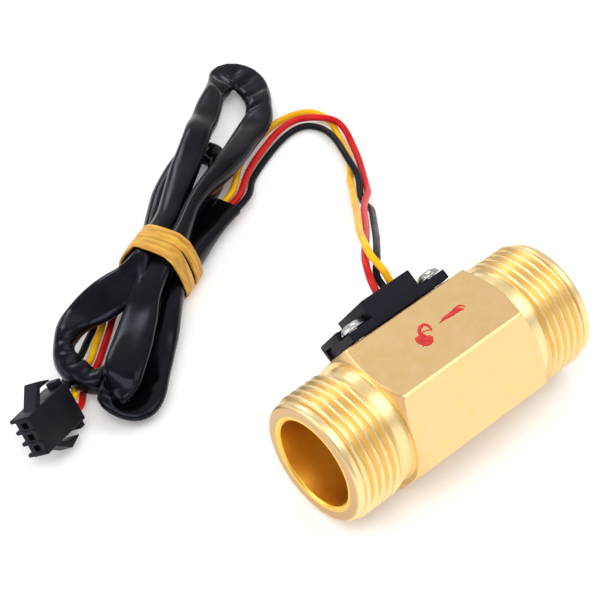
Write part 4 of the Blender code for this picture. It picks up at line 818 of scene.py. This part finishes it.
make_piece("sensor_cover", shells_at(SEAT, cover_shells), COVER_PLASTIC)

# %% [markdown]
# ## The cover's screws
#
# A pan head is a shallow dome with a round shoulder. The cross recess is pressed in cold, so its walls lean. As a
# height over a disc the head is a function of two numbers, the distance and the angle from the middle, and the
# recess is simply taken off that height.

# %% Screws
HEAD_RADIUS, HEAD_TOP, HEAD_BASE = 2.6, 3.9, 2.5
SHANK_RADIUS, SHANK_TIP = 1.2, -3.3
CROSS_HALF, CROSS_REACH, CROSS_DEPTH = 0.36, 1.35, 0.75


def screw_head(x):
    """Height over a disc: a dome whose rim falls along a power curve, less a cross whose walls lean inwards."""
    r = np.concatenate([np.linspace(0, 0.9, 26), np.linspace(0.92, 1, 8)]) * HEAD_RADIUS
    t = np.linspace(0, math.tau, 96, endpoint=False)
    rr, tt = np.meshgrid(r, t, indexing="ij")
    height = HEAD_BASE + (HEAD_TOP - HEAD_BASE) * (1 - (rr / HEAD_RADIUS) ** 3.2) ** 0.62
    px, py = rr * np.cos(tt), rr * np.sin(tt)
    arms = np.minimum(np.abs(px), np.abs(py))
    reach = np.maximum(np.abs(px), np.abs(py))
    depth = np.clip((CROSS_HALF - arms) / 0.14, 0, 1) * np.clip((CROSS_REACH - reach) / 0.3, 0, 1) * CROSS_DEPTH
    head = np.stack([x + px, SCREW_Y + py, height - depth], axis=2)
    rim = head[-1] * [1, 1, 0] + [0, 0, HEAD_BASE]
    shank = np.stack([x + SHANK_RADIUS * np.cos(t), SCREW_Y + SHANK_RADIUS * np.sin(t), rim[:, 2]], axis=1)
    tip = shank * [1, 1, 0] + [0, 0, SHANK_TIP]
    return grid_shell(np.concatenate([head[1:], rim[None], shank[None], tip[None]]))


for name, screw_x in zip(("cover_screw_left", "cover_screw_right"), SCREW_X):
    make_piece(name, shells_at(SEAT, [screw_head(screw_x)]), PLATED_STEEL, sharp=70)

# %% [markdown]
# ## The rubber band
#
# The band goes twice round the hank. A stretched band takes the shortest way round what it holds, which is the
# convex outline of the sleeve's runs where it crosses them. That outline is found from its support: how far the runs
# reach in each direction.

# %% Band
BAND_CENTRE = (-0.0138, 0.0655, 0.0068)
BAND_THICKNESS, BAND_HALF_WIDTH = 0.8, 1.8
BAND_GAP = 0.12
HELD_WITHIN = 3.6  # how far along the hank, either way, the band lies on the sleeve
band_frame = Matrix.Translation(BAND_CENTRE) @ Euler((0, math.pi / 2, BAND_TURN)).to_matrix().to_4x4()


def band_line(reach, count=96):
    """A convex line round the held runs: neighbouring support lines, moved out by reach, are cut with each other."""
    local = placed(sleeve_rings.reshape(-1, 3), band_frame.inverted())
    held = local[np.abs(local[:, 2]) < HELD_WITHIN][:, :2]
    a = np.linspace(0, math.tau, count, endpoint=False)
    facing = np.column_stack([np.cos(a), np.sin(a)])
    support = (held @ facing.T).max(axis=0) + reach
    support = np.maximum(support, (np.roll(support, 1) + np.roll(support, -1)) / 2 / math.cos(a[1]))
    step = np.roll(support, -1)
    sine = math.sin(a[1])
    x = (support * np.roll(facing[:, 1], -1) - step * facing[:, 1]) / sine
    y = (step * facing[:, 0] - support * np.roll(facing[:, 0], -1)) / sine
    return np.column_stack([x, y])


def strand(offset, sway, phase):
    """One turn of the band: a rounded bar whose width and height change a little as it sways on its way round."""
    inner = band_line(BAND_GAP)
    outer = band_line(BAND_GAP + BAND_THICKNESS)
    a = np.linspace(0, math.tau, len(inner), endpoint=False)
    s = np.linspace(0, math.tau, 20, endpoint=False)
    across = np.sign(np.cos(s)) * np.abs(np.cos(s)) ** 0.45
    across = across * (BAND_HALF_WIDTH + 0.2 * np.sin(2 * a + phase)[:, None])
    through = 0.5 + 0.5 * np.sign(np.sin(s)) * np.abs(np.sin(s)) ** 0.6
    through = through * (0.85 + 0.25 * np.sin(5 * a + 2 * phase) * np.sin(2 * a))[:, None]
    flat = inner[:, None] * (1 - through)[..., None] + outer[:, None] * through[..., None]
    level = (offset + sway * np.sin(a + phase))[:, None] + across
    return grid_shell(np.concatenate([flat, level[..., None]], axis=2), wrap_rows=True)


make_piece("bundle_band", shells_at(band_frame, [strand(-1.7, 0.65, 0.2), strand(1.7, 0.3, 2.4)]), BAND_RUBBER,
           sharp=60)

# %% [markdown]
# ## The plug
#
# The plug is a flat housing with three ways. Its mating end shows a socket for each pin, four ribs stiffen its
# underside, and two springy arms stand off its sides as latches.

# %% Plug sizes, in millimetres
PLUG_LENGTH, PLUG_WIDTH, PLUG_HEIGHT = 13.6, 8.4, 4.0
RIB_HEIGHT, RIB_WIDTH, WAY_PITCH = 1.4, 0.8, 2.5
ARM_FLARES = {1: 3.9, -1: 2.6}
FRONT_END, BACK_START = 6.8, 6.6  # the two halves overlap a little
PIN_HOLE_SIZE, PIN_HOLE_DEPTH = (1.3, 1.5), 3
WIRE_HOLE_SIZE, WIRE_HOLE_FLOOR = (1.9, 2.0), 9
FACE_BARS = (-3.7, -1.25, 1.25, 3.7)  # low bars on the mating face, beside and between the ways
TAB_START, TAB_END, TAB_HALF = 11.7, 13.3, 0.85
plug_half, plug_top = PLUG_WIDTH / 2, RIB_HEIGHT + PLUG_HEIGHT


# %% Plug housing
def way_holes(width, height):
    """A small rectangle with rounded corners round the middle of each way."""
    return [rectangle(y - width / 2, y + width / 2, PLUG_LEVEL - height / 2, PLUG_LEVEL + height / 2, 0.15, 3)
            for y in WAY_Y.values()]


def arm_outline(side, flare):
    """A latch arm seen from above: a blade that leaves the wall and ends in a lip for the finger."""
    tip = plug_half + flare
    corners = [[3.0, plug_half - 0.3], [3.0, plug_half], [6.8, tip], [10.1, plug_half + flare * 0.66],
               [10.1, plug_half + flare * 0.58], [6.9, tip - 1.45], [4.4, plug_half - 0.3]]
    return rounded_outline(corners, [0.0, 0.0, 0.3, 0.08, 0.08, 0.4, 0.0], 4) * [1, side]


section = rectangle(-plug_half, plug_half, RIB_HEIGHT, plug_top, 0.3)
plug_shells = [carried(slab(section, -FRONT_END, 0, 0.2, way_holes(*PIN_HOLE_SIZE), -PIN_HOLE_DEPTH), -1),
               carried(slab(section, BACK_START, PLUG_LENGTH, 0.2, way_holes(*WIRE_HOLE_SIZE), WIRE_HOLE_FLOOR))]
for y in FACE_BARS:
    bar = rectangle(y - 0.22, y + 0.22, RIB_HEIGHT + 0.35, plug_top - 0.35, 0.1, 3)
    plug_shells.append(carried(slab(bar, -0.5, 0.22, 0.1), -1))
for i in range(4):
    y = (i - 1.5) * WAY_PITCH
    rib = rectangle(0.2, PLUG_LENGTH - 0.3, y - RIB_WIDTH / 2, y + RIB_WIDTH / 2, 0.25)
    plug_shells.append(slab(rib, 0, RIB_HEIGHT + 0.5, 0.2))
for side, flare in ARM_FLARES.items():
    plug_shells.append(slab(arm_outline(side, flare), RIB_HEIGHT + 0.3, plug_top - 0.3, 0.15))
    y = side * (plug_half + 0.35)
    tab = rectangle(TAB_START, TAB_END, y - TAB_HALF, y + TAB_HALF, 0.2)
    plug_shells.append(slab(tab, RIB_HEIGHT + 0.6, plug_top - 0.6, 0.2))
make_piece("connector_housing", shells_at(PLUG, plug_shells), PLUG_PLASTIC)

# %% [markdown]
# ## Red marks
#
# A worker has dabbed two marks of red paint on the upper flat, to show that the sensor passed its test. A dab is a
# low cushion of paint: the same oval rings as a cord's, drawn out flat along the brush's way, with an uneven width.

# %% Paint
PAINT_HEIGHT = 0.05


def dab(points, widths, wobble):
    """A flat stroke on the upper flat: oval rings along a smooth line, whose width wavers and closes at both ends."""
    path = evenly(smooth_route([(x, y, 2 * AXIS_HEIGHT) for x, y in points]), 0.12)
    along = np.linspace(0, len(widths) - 1, len(path))
    half = np.interp(along, np.arange(len(widths)), widths)
    ends = np.sqrt(np.clip(1 - np.abs(np.linspace(-1, 1, len(path))) ** 6, 0.01, 1))
    half = half * ends * (1 + 0.1 * np.sin(along * 5.1 + wobble) + 0.06 * np.sin(along * 11.3))
    return grid_shell(tube_rings(path, half, PAINT_HEIGHT, 20))


STROKES = [
    ([(-4.3, 0.2), (-3.6, 0.05), (-2.9, -0.45), (-2.65, -1.35), (-2.6, -2.0)], [0.9, 1.4, 1.6, 1.5, 1.0], 0.3),
    ([(-2.55, 0.05), (-2.35, 0.95), (-2.1, 1.7), (-1.3, 2.35), (-0.5, 2.55), (0, 2.25), (0.15, 1.65), (0.05, 0.9),
      (-0.3, 0.35)], [0.7, 0.6, 0.36, 0.36, 0.42, 0.38, 0.34, 0.28, 0.2], 1.2),
    ([(-2.0, 1.3), (-1.3, 1.2), (-0.6, 0.95), (-0.1, 0.7)], [0.2, 0.13, 0.16, 0.12], 2.0),
    ([(2.1, 0.7), (2.95, 0.9), (4.1, 1.0), (5.05, 0.9), (6.2, 0.95), (7.2, 0.8), (7.85, 0.45), (8.1, 0.1)],
     [0.1, 0.26, 0.42, 0.52, 0.58, 0.62, 0.55, 0.3], 0.8),
    ([(6.0, 1.35), (7.2, 1.5), (8.05, 1.4), (8.5, 1.0), (8.6, 0.3)], [0.16, 0.24, 0.26, 0.22, 0.12], 2.6),
]  # each one's line on the flat, its half widths along it, and how its edge wavers
make_piece("red_paint_marks", [dab(*stroke) for stroke in STROKES], RED_PAINT, sharp=60, new=True)

# %% [markdown]
# ## The turbine
#
# Inside the bore a vaned guide makes the water swirl, the rotor turns in the swirl, and a spoked support holds the
# far end of its pin. These are turned forms with blades. A turned form is a profile carried round the axis. A blade
# is a flat bar whose angle grows along the pipe, which is what a screw thread does too.

# %% Turned forms and blades
AXIS_GAP = 0.03  # a closed form stops this short of the axis, so that its end rings keep a size


def ring_at(x, r, t):
    """Points at a distance r from the pipe's axis: y = r sin(t), z = axis + r cos(t)."""
    return np.stack([x, r * np.sin(t), AXIS_HEIGHT + r * np.cos(t)], axis=2)


def round_axis(profile, steps=96, ring=True):
    """A profile of (x, radius) carried round the axis, in one closed ring or from end to end."""
    profile = np.array(profile, dtype=float)
    t = np.linspace(0, math.tau, steps, endpoint=False)
    x = np.broadcast_to(profile[:, :1], (len(profile), steps))
    return grid_shell(ring_at(x, profile[:, 1:], t), wrap_rows=ring)


def ring_section(front, back, inner, outer, edge):
    """The rounded section of a ring, as (x, radius)."""
    return rounded_outline([[front, inner], [front, outer], [back, outer], [back, inner]], edge, 3)


def plain_ring(front, back, inner, outer, edge=0.12):
    """A ring with rounded edges."""
    return round_axis(ring_section(front, back, inner, outer, edge))


def blade(inner, outer, front, length, turn, twist, thickness, stations=22):
    """A bar from one radius to another: its angle grows evenly by twist, and its ends thin out along half circles."""
    u = np.linspace(0, 1, stations)
    angle = math.pi - (turn + twist * u)
    rim = np.sqrt(np.clip(1 - ((np.abs(u - 0.5) * 2 - 0.86).clip(0) / 0.14) ** 2, 0.02, 1))
    half = thickness / 2
    section = rectangle(inner, outer, -half, half, [0, 0.25, 0.25, 0], 3)
    r = section[:, 0]
    slope = np.sqrt(1 + (r * twist / length) ** 2)
    sideways = section[:, 1] * slope * rim[:, None]
    y = r * np.sin(angle)[:, None] + sideways * np.cos(angle)[:, None]
    z = AXIS_HEIGHT + r * np.cos(angle)[:, None] - sideways * np.sin(angle)[:, None]
    x = np.broadcast_to((front + length * u)[:, None], y.shape)
    return grid_shell(np.stack([x, y, z], axis=2))


# %% Guide and support
GUIDE_FRONT, GUIDE_BACK = -12.4, -5.4
SUPPORT_FRONT, SUPPORT_BACK = 8.6, 11.0
RIM_INNER, RIM_OUTER = 7.9, 9.0
HUB_RADIUS, PIN_HOLE = 3.0, 1.3
VANES, VANE_FRONT, VANE_LENGTH, VANE_TWIST, VANE_THICKNESS = 6, -9.7, 3.4, math.radians(-34), 0.9
SPOKES, SPOKE_FRONT, SPOKE_LENGTH, SPOKE_WIDTH = 4, 8.9, 1.8, 1.1
a = np.linspace(0, math.pi / 2 - 0.01, 14)
nose = np.column_stack([GUIDE_FRONT + 3.6 * (1 - np.sin(a)), HUB_RADIUS * np.cos(a)])[::-1]
guide_hub = [*nose.tolist(), (-5.5, HUB_RADIUS), (GUIDE_BACK, 2.9), (GUIDE_BACK, PIN_HOLE), (-7.7, PIN_HOLE),
             (-7.7, AXIS_GAP)]
guide = [plain_ring(GUIDE_FRONT, GUIDE_BACK, RIM_INNER, RIM_OUTER), round_axis(guide_hub, ring=False)]
guide += [blade(2.4, 8.2, VANE_FRONT, VANE_LENGTH, math.tau * i / VANES, VANE_TWIST, VANE_THICKNESS)
          for i in range(VANES)]
make_piece("inlet_guide", guide, ACETAL)
support_hub = [(10.4, AXIS_GAP), (10.4, PIN_HOLE), (SUPPORT_FRONT, PIN_HOLE), (SUPPORT_FRONT, 2.1), (8.7, 2.2),
               (10.8, 2.2), (SUPPORT_BACK, 2.0), (SUPPORT_BACK, AXIS_GAP)]
support = [plain_ring(SUPPORT_FRONT, SUPPORT_BACK, RIM_INNER, RIM_OUTER), round_axis(support_hub, ring=False)]
support += [blade(1.6, 8.2, SPOKE_FRONT, SPOKE_LENGTH, math.tau * (i + 0.5) / SPOKES, 0, SPOKE_WIDTH)
            for i in range(SPOKES)]
make_piece("outlet_support", support, ACETAL)

# %% Rotor
ROTOR_FRONT, ROTOR_BACK = -4.4, 7.6
ROTOR_HUB, ROTOR_HOLE = 2.6, 1.06
BLADES, BLADE_FRONT, BLADE_LENGTH, BLADE_TWIST, BLADE_THICKNESS = 6, -3.9, 6.4, math.radians(36), 0.9
flange = [(2.2, ROTOR_HUB), (2.2, 7.35), (2.35, 7.5), (2.85, 7.5), (3.0, 7.35), (3.0, ROTOR_HUB)]
hub = [(ROTOR_FRONT, ROTOR_HOLE), (ROTOR_FRONT, 2.45), (-4.25, ROTOR_HUB), *flange, (7.45, ROTOR_HUB),
       (ROTOR_BACK, 2.45), (ROTOR_BACK, ROTOR_HOLE)]
blades = [blade(2.0, 8.6, BLADE_FRONT, BLADE_LENGTH, math.tau * i / BLADES, BLADE_TWIST, BLADE_THICKNESS, 30)
          for i in range(BLADES)]
make_piece("rotor", [round_axis(hub), *blades], ACETAL, body="rotor")
make_piece("rotor_magnet", [plain_ring(front=3.3, back=6.5, inner=2.9, outer=7.2, edge=0.2)], FERRITE,
           body="rotor")

# %% Pin, washers and retaining ring
PIN_FRONT, PIN_BACK, PIN_RADIUS = -7.4, 10.1, 1.0
WASHER_THICKNESS, WASHER_HOLE, WASHER_RADIUS = 0.4, 1.3, 2.1
RING_FRONT, RING_BACK, RING_INNER, RING_OUTER, RING_OPENING = -13.7, -12.7, 8.5, 9.7, 6
pin = [(PIN_FRONT, AXIS_GAP), (PIN_FRONT, 0.8), (-7.2, PIN_RADIUS), (9.9, PIN_RADIUS), (PIN_BACK, 0.8),
       (PIN_BACK, AXIS_GAP)]
make_piece("rotor_shaft", [round_axis(pin, 64, ring=False)], PLATED_STEEL)
for name, front in (("thrust_washer_front", -5.1), ("thrust_washer_rear", 7.9)):
    washer = plain_ring(front, front + WASHER_THICKNESS, WASHER_HOLE, WASHER_RADIUS, 0.08)
    make_piece(name, [washer], PLATED_STEEL)


def open_ring():
    """A rounded section carried most of the way round: its opening is at the bottom, where t is half a turn."""
    section = ring_section(RING_FRONT, RING_BACK, RING_INNER, RING_OUTER, 0.12)
    gap = math.asin(RING_OPENING / (RING_INNER + RING_OUTER))
    t = np.linspace(math.pi + gap, 3 * math.pi - gap, 90)[:, None]
    return grid_shell(ring_at(np.broadcast_to(section[None, :, 0], (len(t), len(section))), section[None, :, 1], t))


make_piece("retaining_ring", [open_ring()], PLATED_STEEL)

# %% [markdown]
# ## The circuit and the contacts
#
# The board, its chips and the contacts are small plain blocks that hardly show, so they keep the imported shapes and
# only get their finishes.

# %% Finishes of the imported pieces
INSIDE = {
    "hall_board": BOARD, "hall_sensor": EPOXY, "board_resistor": EPOXY, "board_capacitor": CERAMIC,
    "contact_red": TINNED, "contact_yellow": TINNED, "contact_black": TINNED,
}
for name, material in INSIDE.items():
    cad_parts[name].material_slots[0].material = material
print(len(INSIDE), "packed pieces have a finish")

# %% [markdown]
# ## Floor and light
#
# The object lies on a plain white floor in a white studio. Large soft lamps give the long, soft reflections that make
# brass look like brass, and the camera sees the floor and the surroundings as plain white.

# %% Floor
FLOOR_HALF, FLOOR_LEVEL = 1.5, -0.0002  # in metres; a hair below the object, so that nothing is cut off


def make_floor():
    """A large white square. Camera and glossy rays also see a faint glow on it, so white stays white in the shade."""
    mesh = bpy.data.meshes.new("floor")
    corners = [(x * FLOOR_HALF, y * FLOOR_HALF, FLOOR_LEVEL) for x, y in ((-1, -1), (1, -1), (1, 1), (-1, 1))]
    mesh.from_pydata(corners, [], [(0, 1, 2, 3)])
    floor = bpy.data.objects.new("floor", mesh)
    bpy.context.scene.collection.objects.link(floor)
    paper, shader, _ = new_finish("white paper", {"Base Color": linear("#F6F6F6"), "Roughness": 0.9,
                                                  "Emission Color": (1, 1, 1, 1)})
    rays = add_node(paper, "LightPath")
    seen = add_node(paper, "Math", {"operation": "MAXIMUM"},
                    {0: (rays, "Is Camera Ray"), 1: (rays, "Is Glossy Ray")})
    glow = add_node(paper, "MapRange", {"To Max": 0.16}, {"Value": (seen, 0)})
    link(paper, shader, {"Emission Strength": (glow, "Result")})
    mesh.materials.append(paper)


make_floor()


# %% Lights
LAMPS = [  # name, place, the point that it faces, side in metres, watts
    ("key", (-0.35, -0.2, 0.9), (0, 0.04, 0), 0.6, 3.8),
    ("top softbox", (0.45, -0.25, 0.86), (0, 0, 0.02), 0.6, 2.2),
    ("left softbox", (-0.72, 0.55, 0.42), (-0.01, 0.05, 0), 0.6, 2.6),
    ("strip", (0.24, 0.82, 0.52), (-0.01, 0.06, 0), 0.3, 1.3),
    ("back softbox", (0.40, 0.50, 0.67), (0, 0, 0.02), 0.8, 0.5),
    ("front softbox", (0.40, -0.80, 0.14), (0, 0, 0.02), 0.6, 0.9),
]
for name, place, target, size, watts in LAMPS:
    data = bpy.data.lights.new(name, "AREA")
    data.shape = "SQUARE"
    data.size = size
    data.energy = watts
    lamp = bpy.data.objects.new(name, data)
    lamp.location = place
    lamp.rotation_euler = (Vector(target) - Vector(place)).to_track_quat("-Z", "Y").to_euler()
    bpy.context.scene.collection.objects.link(lamp)
world = bpy.data.worlds.new("white studio")
world.use_nodes = True
sky = world.node_tree.nodes["Background"]
sky.inputs["Color"].default_value = (1, 1, 1, 1)
sky.inputs["Strength"].default_value = 0.55
bpy.context.scene.world = world
bpy.context.scene.view_settings.view_transform = "Standard"
print(len(LAMPS), "lamps and a white world")
